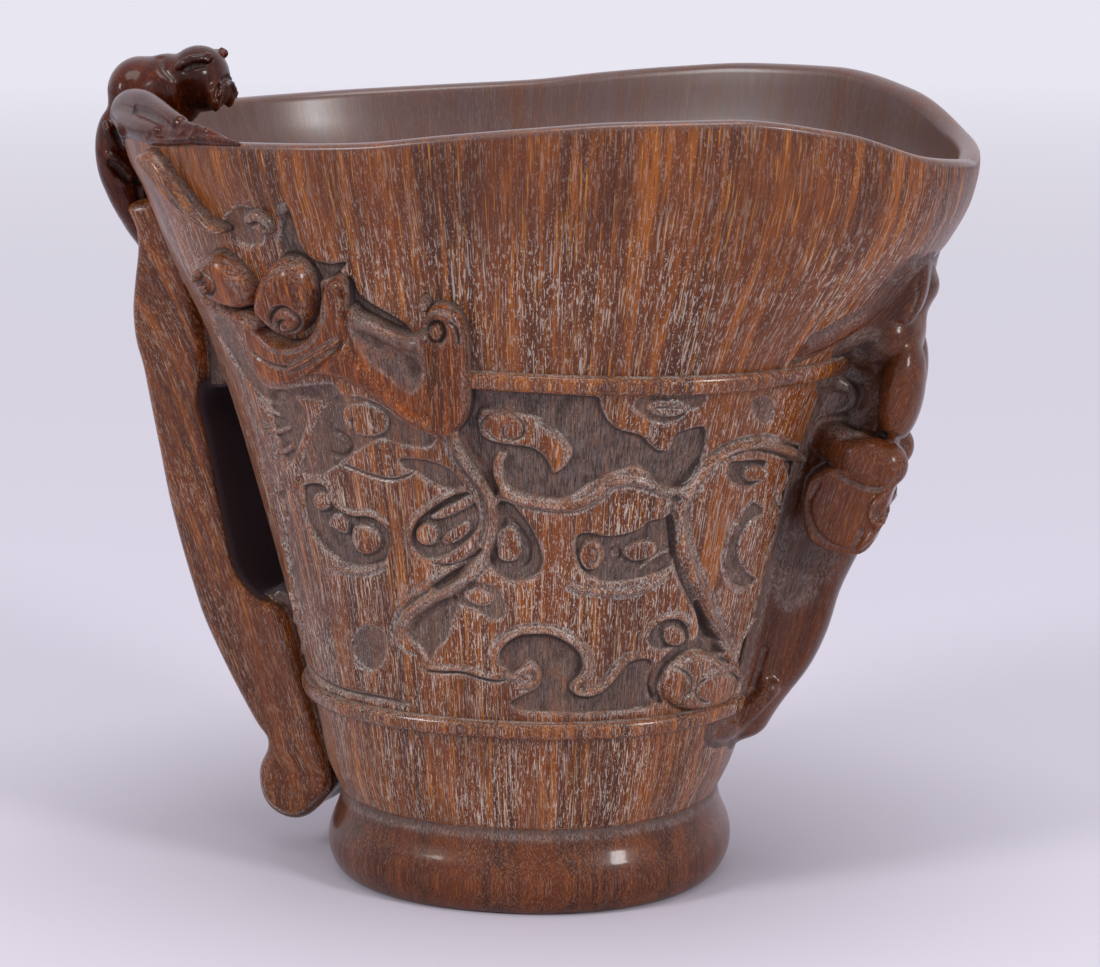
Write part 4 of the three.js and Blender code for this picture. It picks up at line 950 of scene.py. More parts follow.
def make_lip_dragon():
    carving = Carving((-61.7, -40.5, 84), (-27, 24, 113.64), 0.25)
    # Rump and back, up the outside and over the lip
    carving.limb([(-53.5,0,86,2.6), (-55.6,0,91,3.6), (-56.8,0,97,3.9), (-56.6,0,102,4.0),
                  (-54.5,0,105,4.2)], squash=(1, 1.7, 1))
    carving.mass(at(119, 156, -4.6), (3.0, 4.6, 6.9), 0.9, lean=-6, both=True)
    carving.mass(at(129, 192, -3.4), (2.5, 4.0, 4.6), 0.9, lean=-16, both=True)
    carving.mass(at(139, 89, 0), (3.9, 7.0, 4.6), 1.4)
    carving.mass(at(168, 92, 0), (5.2, 6.3, 5.4), 1.4)
    # Head, with a jaw and cheeks that rest on the lip
    carving.mass(at(199, 76, 0), (4.2, 5.2, 4.3), 1.0)
    carving.mass(at(206, 90, 0), (3.4, 4.6, 3.0), 1.0)
    carving.mass(at(229, 93, 2.8), (0.9, 1.5, 2.1), 0.4, both=True)
    carving.draw(-0.3, (229,78,0.35), (223,84,0.5), (218,92,0.5), (217,99,0.35))
    carving.draw(0.3, (231,79,0.3), (226,85,0.5,0.15), (221,91,0.5,0.15), (219,97,0.3))
    # Two horns swept back over the head, from a knot above the brow
    carving.draw(0.25, (208,58,0.6), (200,59,0.8,0.15), (190,61,0.85,0.15), (182,65,0.75,0.1),
                 (178,67,0.5))
    carving.draw(0.2, (206,54,0.45), (211,57,0.55,0.1), (207,61,0.4))
    carving.draw(-0.3, (204,65,0.25), (194,66,0.35), (186,69,0.3))
    carving.draw(-0.6, (160,57,0.25), (163,68,0.4), (172,78,0.25))
    # Forelegs from the shoulder along the rim. The far one ends behind the head.
    carving.limb(spots_at((121,124,-9,1.5), (123,111,-10.5,1.8), (131,104,-13.5,2.1), (143,105,-18,2.1),
                          (156,112,-23,1.9), (168,119,-27.5,1.6), (180,124,-31,1.2)), 0.5)
    carving.limb([(-56.5,7,107.4,2.0), (-56.0,9.5,108.2,2.1), (-54.9,12.5,107.4,1.9),
                  (-53.4,15.6,105.8,1.6), (-51.6,18.8,105.0,1.2), (-49.8,21.6,104.7,0.7)], 0.5)
    carving.limb(spots_at((124,116,-13,1.9), (133,124,-18.5,2.0), (146,130,-24.5,1.7),
                          (160,132,-29,1.2)), 0.8)
    # Near paw flat on the rim, with its knotted toes
    for toe in ([(150,139,-27.5,0.8), (168,140,-31.5,0.85), (192,139,-34.4,0.75), (216,140,-36.4,0.6),
                 (238,143,-37.8,0.3)],
                [(166,132,-29.6,0.85), (184,134,-32.8,0.8), (202,136,-34.8,0.6), (218,139,-36,0.4)],
                [(172,123,-29.4,0.8), (188,127,-32.4,0.8), (206,132,-34.8,0.6), (226,139,-36.6,0.35)]):
        carving.limb(spots_at(*toe), 0.15)
    for *place, size in ((178,123,-30.6,0.8), (187,126,-32.4,0.75), (197,128,-33.8,0.7),
                         (185,133,-33.2,0.75), (195,133.5,-34.4,0.65), (207,130,-35,0.6),
                         (176,139,-33,0.7), (192,138,-34.9,0.7), (206,137,-36,0.6)):
        carving.mass(at(*place), (size, size, 0.85 * size), 0.12)
    carving.draw(-0.6, (135,110,0.3), (146,113,0.5), (158,119,0.5), (168,125,0.3))
    carving.draw(-0.2, (150,134,0.25), (160,135,0.35), (172,136,0.35), (186,136.5,0.2))
    # Hollows and locks of hair on the haunch, and the groove between it and the strap
    carving.draw(-0.8, (112,128,0.8), (118,136,1.0), (122,147,0.7))
    carving.draw(-0.8, (113,164,0.7), (121,168,1.0), (128,178,0.7))
    carving.draw(0.25, (106,124,0.5), (110,136,0.6,0.2), (117,148,0.5,0.1), (122,152,0.3))
    carving.draw(0.25, (116,122,0.4), (122,131,0.6,0.2), (125,144,0.4))
    carving.draw(0.25, (106,155,0.3), (114,157,0.6,0.2), (123,162,0.6,0.2), (130,172,0.3))
    carving.draw(0.25, (118,180,0.4), (124,184,0.6,0.2), (132,184,0.4))
    carving.draw(-0.4, (126,140,0.3), (133,156,0.5), (138,176,0.55), (141,200,0.5), (147,224,0.35))
    carving.settle(0.3, 0.12, 0.0, over_lip=True)
    return carving.make("lip_dragon")


class Relief(Marks):
    """Heights of a high relief over the wall, which sinks below it outside its shapes."""
    OFF, SUNK = 2.4, -0.7

    def __init__(self, angle, height):
        super().__init__(angle, height)
        self.lift[:] = self.SUNK

    def dome(self, rise, crown, outline, blend=0.4):
        """Rounded rise which runs into those around it."""
        chosen, inside = self.area(outline, 1.0)
        chosen, inside = chosen[inside > self.SUNK / 3], inside[inside > self.SUNK / 3]
        t = np.clip(inside / crown, 0, 1)
        new = np.where(inside > 0, rise * np.sqrt(np.maximum(1 - (1 - t) ** 2, 0)), 3.0 * inside)
        new = np.maximum(new, self.SUNK)
        self.lift[chosen] = merged(new, self.lift[chosen], blend, np.maximum)


# Shapes of the side dragon, as in the frieze: height and crown width in mm, and an outline
SIDE_AREAS = [
    (2.1, 1.8, 322,318, 340,306, 352,314, 368,322, 388,331, 406,335, 424,330, 445,344, 450,380, 445,415,
     420,420, 390,408, 360,386, 336,362, 322,340),
    (3.3, 1.7, 190,264, 195,253, 205,249, 214,252, 226,263, 237,275, 246,289, 246,300, 236,305, 223,303,
     211,297, 200,289, 192,277),
    (2.0, 0.9, 188,284, 196,292, 208,300, 222,306, 234,308, 238,316, 232,322, 220,316, 206,310,
     194,300),
    (3.1, 0.8, 231,305, 243,307, 253,315, 255,325, 245,322, 236,314),
    (3.8, 2.4, 247,297, 250,280, 259,265, 273,256, 288,259, 300,271, 307,289, 307,308, 301,324, 289,333,
     275,331, 261,320, 251,309),
    (2.8, 0.8, 238,314, 241,334, 248,355, 260,373, 277,382, 294,379, 310,369, 325,357, 338,340, 340,312,
     338,286, 330,275, 320,280, 316,292, 315,310, 309,325, 299,336, 283,341, 268,338, 255,328, 247,318),
    (2.9, 2.2, 302,368, 318,350, 334,336, 348,340, 358,352, 370,366, 386,380, 402,394, 416,407, 434,412,
     446,424, 436,436, 420,432, 402,423, 386,411, 368,398, 348,386, 328,378, 312,376),
    (2.7, 0.8, 421,322, 423,310, 434,303, 448,306, 459,315, 465,330, 467,352, 468,382, 467,410, 459,427,
     446,436, 430,430, 424,414, 427,392, 433,370, 434,348, 429,336),
    (2.2, 0.7, 412,301, 419,297, 426,301, 426,309, 419,312, 413,308),
    (1.2, 0.8, 230,214, 240,209, 252,214, 260,226, 256,236, 244,232, 234,224),
    (0.5, 0.8, 262,206, 269,203, 273,209, 271,216, 264,217),
]
SIDE_EYES, EYE_RADII, EYE_SIDES = [(198, 267), (207, 279)], (4.2, 4.6), 8
SIDE_CUTS = [
    (0.9, 0.45, 244,302, 254,316, 264,330, 276,336, 291,336, 303,326, 311,308, 311,288),
    (0.8, 0.33, 273,320, 272,307, 280,299, 291,302, 297,314, 291,325, 281,326, 279,315, 286,311),
    (0.5, 0.35, 248,344, 258,353, 272,360, 288,363),
    (0.5, 0.35, 196,290, 208,298, 222,305, 234,310),
    (0.4, 0.3, 228,272, 238,286, 242,298),
    (1.0, 0.35, 424,330, 430,320, 440,319, 444,330, 437,339, 429,336),
    (0.5, 0.22, 448,316, 457,326, 459,342),
    (0.9, 0.9, 352,330, 372,342, 392,352, 408,362, 416,378),
    (0.4, 0.4, 394,340, 404,350, 416,352),
    (0.5, 0.3, 236,225, 246,222, 256,230),
    (0.4, 0.22, 193,263, 199,258, 205,265, 212,271, 215,281, 208,288, 200,283, 193,274),
]
SIDE_LINES = [
    (0.5, 0.28, 229,307, 245,315, 255,329, 268,340, 284,343, 300,338, 311,326, 317,310, 318,292),
    (0.5, 0.28, 282,365, 298,358, 312,350, 326,342, 338,334),
    (0.4, 0.28, 422,312, 432,304, 448,306, 460,318, 466,342),
]
# Slender hind leg of the lip dragon, down the wall from its forepaw
HIND_AREAS = [
    (2.2, 0.8, 130,150, 138,149, 149,160, 165,182, 183,203, 198,218, 214,228, 211,233, 196,228, 182,217,
     168,204, 153,188, 139,171, 130,159),
]
HIND_CUTS = [
    (0.3, 0.2, 136,158, 150,174, 166,193, 182,209, 196,221),
]
SIDE_GREYS = [
    (342,318, 352,312, 366,322, 385,330, 404,334, 416,338, 424,356, 422,378, 412,392, 396,386, 380,372,
     364,360, 350,342),
]
# Windows of the wall that hold them, in degrees and heights
SIDE_DEGREES, SIDE_HEIGHTS = (-170, -86), (61.5, 97.5)
HIND_DEGREES, HIND_HEIGHTS = (-176, -124), (83, 105)
COLUMNS_PER_DEGREE, ROWS_PER_MM = ((2.7 * 2.2, 4.2 * 2.2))


def make_relief(name, side, degrees, heights, areas, cuts, lines=(), eyes=(), greys=()):
    """High relief on a window of the near wall, or its mirror image."""
    columns = int(COLUMNS_PER_DEGREE * (degrees[1] - degrees[0]))
    rows = int(ROWS_PER_MM * (heights[1] - heights[0]))
    angles, heights = np.meshgrid(np.radians(np.linspace(*degrees, columns)), np.linspace(*heights, rows))
    relief = Relief(angles.ravel(), heights.ravel())
    for rise, crown, *outline in areas:
        relief.dome(rise, crown, pairs(outline))
    relief.strokes(cuts, lines)
    turns = np.linspace(0, 2 * math.pi, EYE_SIDES + 1)[:-1]
    ring = [(EYE_RADII[0] * math.cos(a), EYE_RADII[1] * math.sin(a)) for a in turns]
    for eye in eyes:
        relief.mound(1.0, 0.6, np.add(eye, ring))
    for outline in greys:
        chosen, inside = relief.area(pairs(outline), 1.0)
        relief.ground[chosen] = np.maximum(relief.ground[chosen], 0.9 * smooth_step(inside, -0.3, 1.2))
    lift = relief.lift.reshape(angles.shape).astype(float)
    kept = lift > Relief.SUNK + 0.02
    shown = kept[:-1, :-1] | kept[1:, :-1] | kept[:-1, 1:] | kept[1:, 1:]
    wall, normal = wall_point(angles, heights), wall_normal(angles, heights)
    top = wall + normal * lift[..., None]
    under = wall + normal * (Relief.SUNK - 0.2)
    index = np.arange(rows * columns).reshape(rows, columns)
    quads = np.stack([index[:-1, :-1], index[:-1, 1:], index[1:, 1:], index[1:, :-1]], -1)[shown]
    below = quads[:, ::-1] + rows * columns
    edges = np.concatenate([quads[:, [i, (i + 1) % 4]] for i in range(4)])
    keys = {(a, b) for a, b in edges.tolist()}
    rim = np.array([(a, b) for a, b in keys if (b, a) not in keys])
    sides = np.stack([rim[:, 1], rim[:, 0], rim[:, 0] + rows * columns, rim[:, 1] + rows * columns], -1)
    points = np.concatenate([top.reshape(-1, 3), under.reshape(-1, 3)])
    faces = np.concatenate([quads, below, sides])
    used = np.unique(faces)
    new = np.zeros(len(points), int)
    new[used] = np.arange(len(used))
    points, faces = points[used], new[faces]
    reach = max(2, round(0.5 * (rows / (heights.max() - heights.min()))))
    cavity = np.pad(lift, reach, mode="edge")
    cavity = blurred(cavity, reach, reach)[reach:-reach, reach:-reach] - lift
    cavity, ground, lift = [np.tile(v.ravel(), 2)[used] for v in (cavity, relief.ground, lift)]
    ground = np.maximum(ground, 0.95 * smooth_step(lift, 1.5, 0.6))
    if side > 0:
        points = points * np.array([1, -1, 1])
        faces = faces[:, ::-1]
    attributes = {"ground": ground, "cavity": cavity, "fibre": fibre_place(points)}
    return make_mesh(name, points, [faces], attributes)


def make_spout_dragon():
    carving = Carving((24, -19, 17), (57.5, 19, 93), 0.3)
    carving.far_shift = -1.4
    # Web that ties it to the wall all the way down
    web = (84,3.0), (78,3.6), (70,3.8), (60,3.6), (50,3.4), (40,3.2), (30,3.0), (23,2.4)
    carving.limb([(float(wall_reach(0.0, z)) + 1.0, 0, z, r) for z, r in web], squash=(1, 1.5, 1))
    # Trunk, from the head under the flare down to the tail beside the foot
    carving.limb([(50.0,0,84,3.9), (49.8,0,79,4.5), (49.6,0,73,4.7), (49.0,0,68,4.7), (47.0,0,61,4.4),
                  (45.5,0,55,4.4), (42.3,0,49,4.5), (40.0,0,43,4.1), (38.2,0,37,4.1), (36.0,0,32,3.9),
                  (32.2,0,27,3.7), (29.8,0,23.4,2.9)], 2.5, squash=(1, 1.2, 1))
    # Head, brow and ears
    carving.mass(at(893, 332, -3), (4.2, 6.2, 4.2), 1.6, lean=-20)
    carving.plate(-6.4, 2.4, 1.5, 0.5, 876,314, 884,299, 895,286, 903,276, 914,266, 922,262, 928,265,
                  930,278, 927,296, 920,312, 910,322, 894,322)
    carving.limb(spots_at((846,338,-8.5,1.5), (864,328,-8.0,1.9), (882,318,-7.0,1.8),
                          (894,312,-6.0,1.2)), 0.9, both=True)
    # Thigh, the roll below it and the flat foreleg with its claws
    carving.mass(at(902, 388, -5.2), (3.1, 4.9, 7.4), 0.7, lean=7, both=True)
    carving.plate(-6.6, 2.8, 1.3, 0.5, 806,488, 805,512, 810,536, 822,545, 834,549, 857,553, 872,545,
                  882,525, 891,500, 897,474, 870,460, 838,462, 814,472)
    carving.limb(spots_at((826,436,-4.4,2.4), (844,446,-5.8,3.1), (864,458,-6.6,3.7),
                          (884,464,-6.6,3.3)), 0.4, both=True)
    # Mane from the brow along the band
    carving.draw(0.6, (906,268,0.7), (892,283,0.9,0.1), (880,299,1.0,0.1), (862,316,1.1,0.1),
                 (840,330,1.1), (818,342,0.9), (800,350,0.6))
    # Grey hollow beside the thigh, the hook in it and the pockets
    carving.draw(-2.2, (842,366,0.8), (856,378,1.1), (866,398,1.2), (860,418,1.0))
    carving.draw(0.3, (826,378,0.7), (840,384,0.9,0.3), (851,391,0.8,0.3), (851,402,0.7,0.2),
                 (842,409,0.6), (830,411,0.5))
    carving.draw(-0.3, (822,370,0.5), (823,380,0.7), (825,390,0.5))
    carving.draw(-0.3, (861,386,0.4), (862,396,0.6), (858,406,0.5), (850,412,0.35))
    # Lines between the parts
    carving.draw(-0.4, (907,446,0.3), (896,438,0.45), (878,434,0.5), (860,434,0.5), (842,438,0.35))
    carving.draw(-0.35, (897,480,0.3), (886,488,0.4), (870,490,0.45), (852,484,0.4), (838,476,0.3))
    carving.draw(-0.4, (818,484,0.3), (808,500,0.4), (808,514,0.4), (814,530,0.4), (826,543,0.4),
                 (842,550,0.4), (858,552,0.3))
    carving.draw(-0.3, (917,284,0.25), (918,296,0.35), (914,308,0.35), (908,322,0.25))
    # Claws
    carving.draw(0.25, (884,496,0.45), (875,503,0.55,0.15), (871,514,0.55,0.15), (876,524,0.5,0.1),
                 (884,522,0.35))
    carving.draw(0.25, (888,508,0.4), (884,518,0.5,0.15), (876,530,0.5,0.15), (866,542,0.5,0.1),
                 (858,549,0.35))
    carving.draw(-0.3, (879,508,0.25), (876,516,0.35), (880,520,0.25))
    carving.draw(-0.3, (862,530,0.3), (857,540,0.35), (852,552,0.25))
    # Hollow down the side of the trunk, and the tail's roll
    carving.draw(-2.0, (822,560,0.9), (812,590,1.5), (802,620,1.6), (790,650,1.4), (778,672,0.8))
    carving.draw(0.9, (770,690,1.2), (756,704,1.4,0.4), (742,716,1.4,0.4), (728,728,1.2,0.4),
                 (716,730,0.8,0.2))
    carving.draw(-0.6, (764,650,0.5), (758,668,0.6), (752,686,0.5))
    carving.draw(-0.3, (712,724,0.3), (717,716,0.4), (726,714,0.35))
    carving.settle(2.6, 2.0, 0.7)
    greys = spots_at((848,404,-6,6.5), (836,372,-8,5.5), (862,344,-8,4.5), (806,560,-5,6.0),
                     (796,592,-5,4.5))
    return carving.make("spout_dragon", greys)


# Materials
class Nodes:
    """Short calls to build a tree of nodes."""

    def __init__(self, tree):
        self.tree = tree
        self.shader = tree.nodes.get("Principled BSDF")

    def link(self, value, socket):
        if isinstance(value, (int, float, tuple)):
            socket.default_value = value
        else:
            self.tree.links.new(value, socket)

    def add(self, kind, inputs=None, **settings):
        """New node with its settings and its inputs, by name or number."""
        node = self.tree.nodes.new("ShaderNode" + kind)
        for key, setting in settings.items():
            setattr(node, key, setting)
        for key, value in (inputs or {}).items():
            self.link(value, node.inputs[key])
        return node

    def shade(self, **values):
        """Values or links for the shader's inputs."""
        for key, value in values.items():
            self.link(value, self.shader.inputs[key.replace("_", " ")])

    def attribute(self, name, output="Fac"):
        return self.add("Attribute", attribute_name=name).outputs[output]

    def grain(self, vector, scale, shift=(0, 0, 0), detail=2, rough=0.6):
        """Noise that is drawn out along the fibre."""
        place = self.add("Mapping", {"Vector": vector, "Scale": scale, "Location": shift})
        inputs = {"Vector": place.outputs[0], "Scale": 1.0, "Detail": detail, "Roughness": rough}
        return self.add("TexNoise", inputs).outputs["Fac"]

    def span(self, value, low, high, out_low=0.0, out_high=1.0, curve="SMOOTHSTEP"):
        keys = "Value", "From Min", "From Max", "To Min", "To Max"
        inputs = dict(zip(keys, (value, low, high, out_low, out_high)))
        return self.add("MapRange", inputs, interpolation_type=curve).outputs["Result"]

    def math(self, kind, a, b):
        return self.add("Math", {0: a, 1: b}, operation=kind).outputs[0]

    def times(self, a, b):
        return self.math("MULTIPLY", a, b)

    def mix(self, share, a, b, blend="MIX"):
        inputs = {"Factor": share, 6: a, 7: b}
        return self.add("Mix", inputs, data_type="RGBA", blend_type=blend).outputs[2]

    def finish(self, share, a, b, output):
        """Mixes two shaders into the tree's output."""
        mixed = self.add("MixShader", {0: share, 1: a.outputs[0], 2: b.outputs[0]})
        self.link(mixed.outputs[0], self.tree.nodes[output].inputs["Surface"])


def material(name, roughness, coat, coat_roughness=0.2):
    made = bpy.data.materials.new(name)
    made.use_nodes = True
    n = Nodes(made.node_tree)
    n.shade(Roughness=roughness, Coat_Weight=coat, Coat_Roughness=coat_roughness, Specular_IOR_Level=0.5)
    return made, n


def colour(red, green, blue):
    """Linear colour from a screen colour of 0 to 255."""
    shares = [v / 255 for v in (red, green, blue)]
    return (*[v / 12.92 if v <= 0.04045 else ((v + 0.055) / 1.055) ** 2.4 for v in shares], 1.0)


RED_BROWN, DARK_BROWN, ORANGE = colour(114, 57, 21), colour(74, 34, 12), colour(158, 86, 18)
GOLD, PALE_FLECK, DUST = colour(204, 132, 40), colour(214, 200, 186), colour(186, 176, 168)
# The dark ground tone also serves as painted shade in the hollows; the near black is painted shade for
# the deepest hollows and the handle's slot
GREY_GROUND, DARK_GROUND_AND_SHADE, PAINTED_SHADE_BLACK = colour(108, 95, 90), colour(44, 33, 29), colour(78, 67, 72)
INSIDE_BROWN, BACKGROUND = colour(82, 54, 49), colour(232, 230, 241)
FLOOR_COLOUR, ROOM_COLOUR, PLAIN = colour(211, 206, 218), (0.92, 0.9, 1.0, 1), (1, 1, 1, 1)


def grained(name, shine=0.5, fleck=1.0, orange=1.0, dust=0.5, specular=0.26, inside=False, tint=PLAIN):
    """Upright grain: brown bands, orange streaks, pale dashes, and grey in the carved ground."""
    made, n = material(name, 0.5, 0.35 * shine, 0.1)
    fibre = n.attribute("fibre", "Vector")
    ground, cavity = n.attribute("ground"), n.attribute("cavity")
    broad = n.grain(fibre, (0.14, 0.14, 0.012), detail=3, rough=0.55)
    band = n.grain(fibre, (0.9, 0.9, 0.035), (4, 9, 2), 5)
    gold = n.grain(fibre, (4.2, 4.2, 0.10), (7, 2, 3))
    dark = n.grain(fibre, (5.0, 5.0, 0.20), (1, 5, 7), 3)
    dash = n.grain(fibre, (5.2, 5.2, 0.6), (8, 3, 5))
    long_dash = n.grain(fibre, (4.2, 4.2, 0.17), (6, 1, 8))
    speck = n.grain(fibre, (4.4, 4.4, 2.0), (2, 7, 1))
    patch = n.grain(fibre, (0.12, 0.12, 0.06), (3, 1, 4), rough=0.5)
    blotch = n.grain(fibre, (0.45, 0.45, 0.35), (5, 5, 2), 3)
    # Bands and streaks
    base = n.mix(n.span(broad, 0.35, 0.65), DARK_BROWN, RED_BROWN)
    base = n.mix(n.times(n.span(band, 0.45, 0.7), 0.85 * orange), base, ORANGE)
    base = n.mix(n.times(n.span(gold, 0.58, 0.7), 0.6 * orange), base, GOLD)
    base = n.mix(n.times(n.span(dark, 0.5, 0.34), 0.75), base, DARK_BROWN)
    # Pale dashes and specks, fewer near the lip and more on the lower wall
    dashes = n.math("MAXIMUM", n.span(dash, 0.57, 0.65), n.span(long_dash, 0.6, 0.68))
    dashes = n.times(dashes, n.span(patch, 0.35, 0.6, 0.5))
    specks = n.times(n.span(speck, 0.6, 0.66), n.span(patch, 0.4, 0.6, 0.4))
    height = n.add("SeparateXYZ", {0: fibre}).outputs["Z"]
    zone = n.times(n.span(height, 100.0, 86.0, 0.35), n.span(height, 66.0, 56.0, 1.0, 1.25))
    flecks = n.times(n.math("MAXIMUM", dashes, specks), n.times(zone, 0.56 * fleck))
    base = n.mix(1.0, n.mix(flecks, base, PALE_FLECK), tint, "MULTIPLY")
    # Grey ground of the carving, which also greys the foot's crease as painted shade
    grey = n.mix(n.span(dash, 0.45, 0.62), GREY_GROUND, DARK_GROUND_AND_SHADE)
    grey = n.mix(n.span(blotch, 0.48, 0.68, 0.0, 0.6), grey, DARK_GROUND_AND_SHADE)
    dirt = n.times(ground, n.span(blotch, 0.52, 0.32, 0.98, 0.6))
    base = n.mix(n.times(dirt, n.span(speck, 0.35, 0.6, 1.0, 0.8)), base, grey)
    # Dust along its rims, and the hollows darkened, partly as dirt and partly as painted shade, near
    # black as painted shade in the deepest ones
    rim = n.times(n.span(ground, 0.03, 0.25), n.span(ground, 0.8, 0.35))
    edge = n.times(n.span(cavity, -0.05, -0.18), 0.6)
    settled = n.times(n.math("MAXIMUM", rim, edge), n.span(speck, 0.42, 0.56))
    settled = n.times(settled, n.span(blotch, 0.4, 0.56, 0.35, 1.3))
    base = n.mix(n.times(settled, dust), base, DUST)
    base = n.mix(n.times(n.span(cavity, 0.08, 0.3), 0.7), base, DARK_GROUND_AND_SHADE)
    # Painted shade: near black in the deepest hollows, the crevices beside the reliefs and the handle's
    # slot
    base = n.mix(n.span(cavity, 0.4, 0.7), base, PAINTED_SHADE_BLACK)
    rough = n.math("ADD", n.span(ground, 0, 1, 0.44 - 0.24 * shine, 0.75), n.times(flecks, 0.2))
    if inside:
        smooth = n.attribute("inside")
        brown = n.mix(n.span(band, 0.4, 0.65), INSIDE_BROWN, DARK_BROWN)
        base = n.mix(n.times(smooth, 0.85), base, brown)
        rough = n.times(rough, n.span(smooth, 0, 1, 1, 1.25))
        coat = n.span(smooth, 0, 1, 0.35 * shine, 0.9)
        n.shade(Coat_Roughness=n.span(smooth, 0, 1, 0.1, 0.3))
    else:
        coat = n.span(cavity, 0.3, 0.6, 0.35 * shine, 0.0)
    dull = n.span(cavity, 0.3, 0.6)
    gloss = n.times(n.span(cavity, 0.3, 0.6, 1.0, 0.0), n.span(ground, 0, 1, specular, 0.2))
    grain = n.math("ADD", n.times(dark, 0.6), n.times(dashes, 0.5))
    bump = n.add("Bump", {"Strength": 0.5 - 0.3 * shine, "Distance": 0.00015, "Height": grain})
    n.shade(Base_Color=base, Roughness=n.math("MAXIMUM", rough, n.times(dull, 0.95)), Coat_Weight=coat,
            Specular_IOR_Level=gloss, Normal=bump.outputs["Normal"])
    return made


# Pieces
SIDE_TINT, SPOUT_TINT = (0.94, 0.78, 0.62, 1), (0.78, 0.76, 0.82, 1)
FOOT_TINT, STRAP_TINT, LIP_TINT = (0.7, 0.6, 0.54, 1), (0.9, 0.82, 0.74, 1), (0.36, 0.2, 0.15, 1)


def dress(obj, made, slot, *nodes):
    obj.data.materials.append(made)
    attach(obj, "root")
    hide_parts(*nodes)


def level(angle):
    return LOWER_BAND_HEIGHT + 0 * angle


def leant(angle):
    return UPPER_BAND_HEIGHT - UPPER_BAND_DROP * np.cos(angle)


dress(make_bowl(), grained("grained_bowl", inside=True), "grained_wall", "bowl")
dress(make_foot(),
      grained("polished_foot", shine=0.9, fleck=0.3, orange=0.6, dust=0.2, specular=0.15, tint=FOOT_TINT),
      "polished_foot", "foot_ring")
dress(make_band("lower_band_ring", level),
      grained("worn_lower_band", shine=1.0, fleck=0.8), "worn_relief", "lower_band")
dress(make_band("upper_band_ring", leant, (1.95, 2.25)),
      grained("worn_upper_band", shine=1.0, fleck=0.8), "worn_relief", "upper_band")
dress(make_handle(),
      grained("grained_handle", shine=0.7, fleck=0.55, tint=STRAP_TINT), "grained_wall", "handle")
dress(make_lip_dragon(),
      grained("polished_lip_dragon", shine=0.8, fleck=0.2, orange=0.7, dust=0.05, specular=0.1,
              tint=LIP_TINT),
      "polished_dragon", "lip_dragon_body", "lip_dragon_head", "lip_dragon_near_foreleg",
      "lip_dragon_far_foreleg")
for word, side in (("near", -1), ("far", 1)):
    dress(make_relief(f"{word}_side_dragon", side, SIDE_DEGREES, SIDE_HEIGHTS, SIDE_AREAS, SIDE_CUTS,
                      SIDE_LINES, SIDE_EYES, SIDE_GREYS),
          grained(f"worn_{word}_side_dragon", shine=0.8, fleck=0.4, dust=0.25, specular=0.15,
                  tint=SIDE_TINT), "worn_relief",
          *[f"{word}_dragon_{part}" for part in ("body", "head", "shoulder", "foreleg", "hindleg")])
    dress(make_relief(f"{word}_hind_ridge", side, HIND_DEGREES, HIND_HEIGHTS, HIND_AREAS, HIND_CUTS),
          grained(f"worn_{word}_hind_ridge", shine=0.8, fleck=0.4, dust=0.2), "worn_relief",
          f"lip_dragon_{word}_hindleg")
dress(make_spout_dragon(),
      grained("polished_spout_dragon", shine=0.8, fleck=0.2, orange=0.3, dust=0.15, specular=0.15,
              tint=SPOUT_TINT),
      "polished_dragon", "spout_dragon_head", "spout_dragon_body", "spout_dragon_tail",
      "spout_dragon_near_foreleg", "spout_dragon_far_foreleg", "spout_dragon_near_hindleg",
      "spout_dragon_far_hindleg")

# Floor, room, lights and camera, in metres and watts
FLOOR_REACH, FLOOR_FADE_START, FLOOR_FADE_END = 3.0, 0.1, 1.1
ROOM_STRENGTH = 0.42
# Soft boxes: place, height of what they aim at, size and power
LIGHTS = {
    "box_left": ((-0.75, -0.85, 0.75), 0.06, (0.3, 0.4), 6.6),
    "box_right": ((0.97, -0.5, 0.6), 0.06, (0.2, 0.3), 5.5),
    "box_top": ((0.1, -0.1, 1.15), 0.05, (0.7, 0.6), 6)}
CLIP_START = 0.01


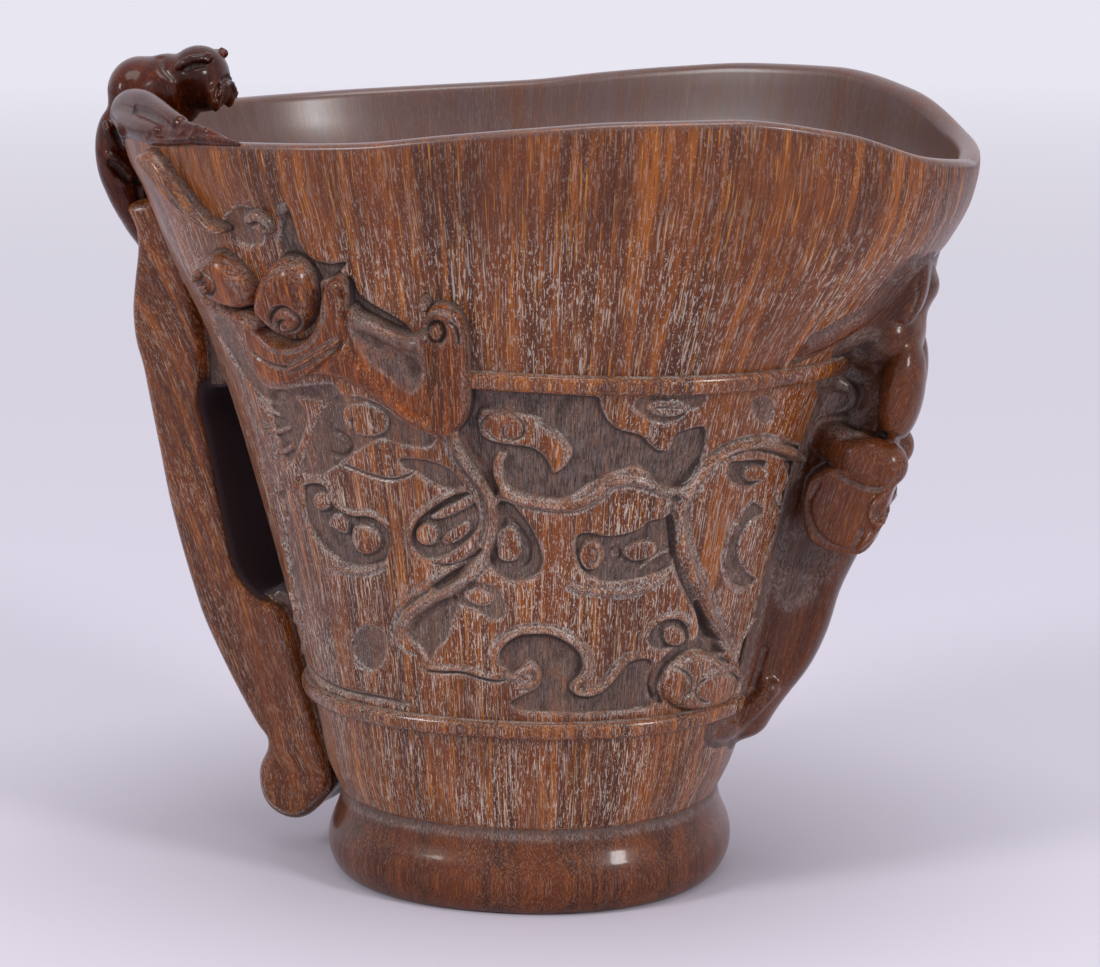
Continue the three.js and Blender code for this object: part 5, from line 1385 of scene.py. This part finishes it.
def make_floor():
    """Floor that fades into the background for the camera only."""
    mesh = bpy.data.meshes.new("floor")
    r = FLOOR_REACH
    mesh.from_pydata([(-r, -r, 0), (r, -r, 0), (r, r, 0), (-r, r, 0)], [], [(0, 1, 2, 3)])
    made, n = material("pale_floor", 0.7, 0.0)
    n.shade(Base_Color=FLOOR_COLOUR)
    place = n.add("TexCoord").outputs["Object"]
    length = n.add("VectorMath", {0: place}, operation="LENGTH").outputs["Value"]
    far = n.span(length, FLOOR_FADE_START, FLOOR_FADE_END, curve="LINEAR")
    glow = n.add("Emission", {"Color": BACKGROUND})
    share = n.times(far, n.add("LightPath").outputs["Is Camera Ray"])
    n.finish(share, n.shader, glow, "Material Output")
    mesh.materials.append(made)
    placed("floor", mesh)


def make_room():
    """Pale room that lights the cup, and the background that is seen and mirrored."""
    world = bpy.data.worlds.new("pale_room")
    bpy.context.scene.world = world
    world.use_nodes = True
    n = Nodes(world.node_tree)
    lit = n.tree.nodes["Background"]
    n.link(ROOM_COLOUR, lit.inputs["Color"])
    n.link(ROOM_STRENGTH, lit.inputs["Strength"])
    shown = n.add("Background", {"Color": BACKGROUND})
    rays = n.add("LightPath").outputs
    seen = n.math("MAXIMUM", rays["Is Camera Ray"], rays["Is Transmission Ray"])
    n.finish(n.math("MAXIMUM", seen, rays["Is Glossy Ray"]), lit, shown, "World Output")


def turn_of(side, upward, back):
    """Turn of an object whose three axes are given."""
    return Matrix(np.stack([side, upward, back], 1).tolist()).to_euler()


def soft_light(name, place, aim_height, size, watts):
    data = bpy.data.lights.new(name, "AREA")
    data.shape = "RECTANGLE"
    data.size, data.size_y = size
    data.energy = watts
    light = placed(name, data)
    light.location = place
    back = np.array(place) - [0, 0, aim_height]
    back /= np.linalg.norm(back)
    side = np.cross([0, 0, 1.0], back)
    side /= np.linalg.norm(side)
    light.rotation_euler = turn_of(side, np.cross(back, side), back)


make_floor()
make_room()
for name, setting in LIGHTS.items():
    soft_light(name, *setting)

lens = bpy.data.cameras.new("camera")
lens.sensor_fit = "HORIZONTAL"
lens.sensor_width = SENSOR_WIDTH
lens.lens = SENSOR_WIDTH * FOCAL_PIXELS / IMAGE_WIDTH
lens.clip_start = CLIP_START
camera = placed("camera", lens)
camera.location = CAMERA_PLACE * MM
camera.rotation_euler = turn_of(RIGHT, CAMERA_UP, -FORWARD)
bpy.context.scene.camera = camera

bpy.context.scene.view_settings.view_transform = "Standard"
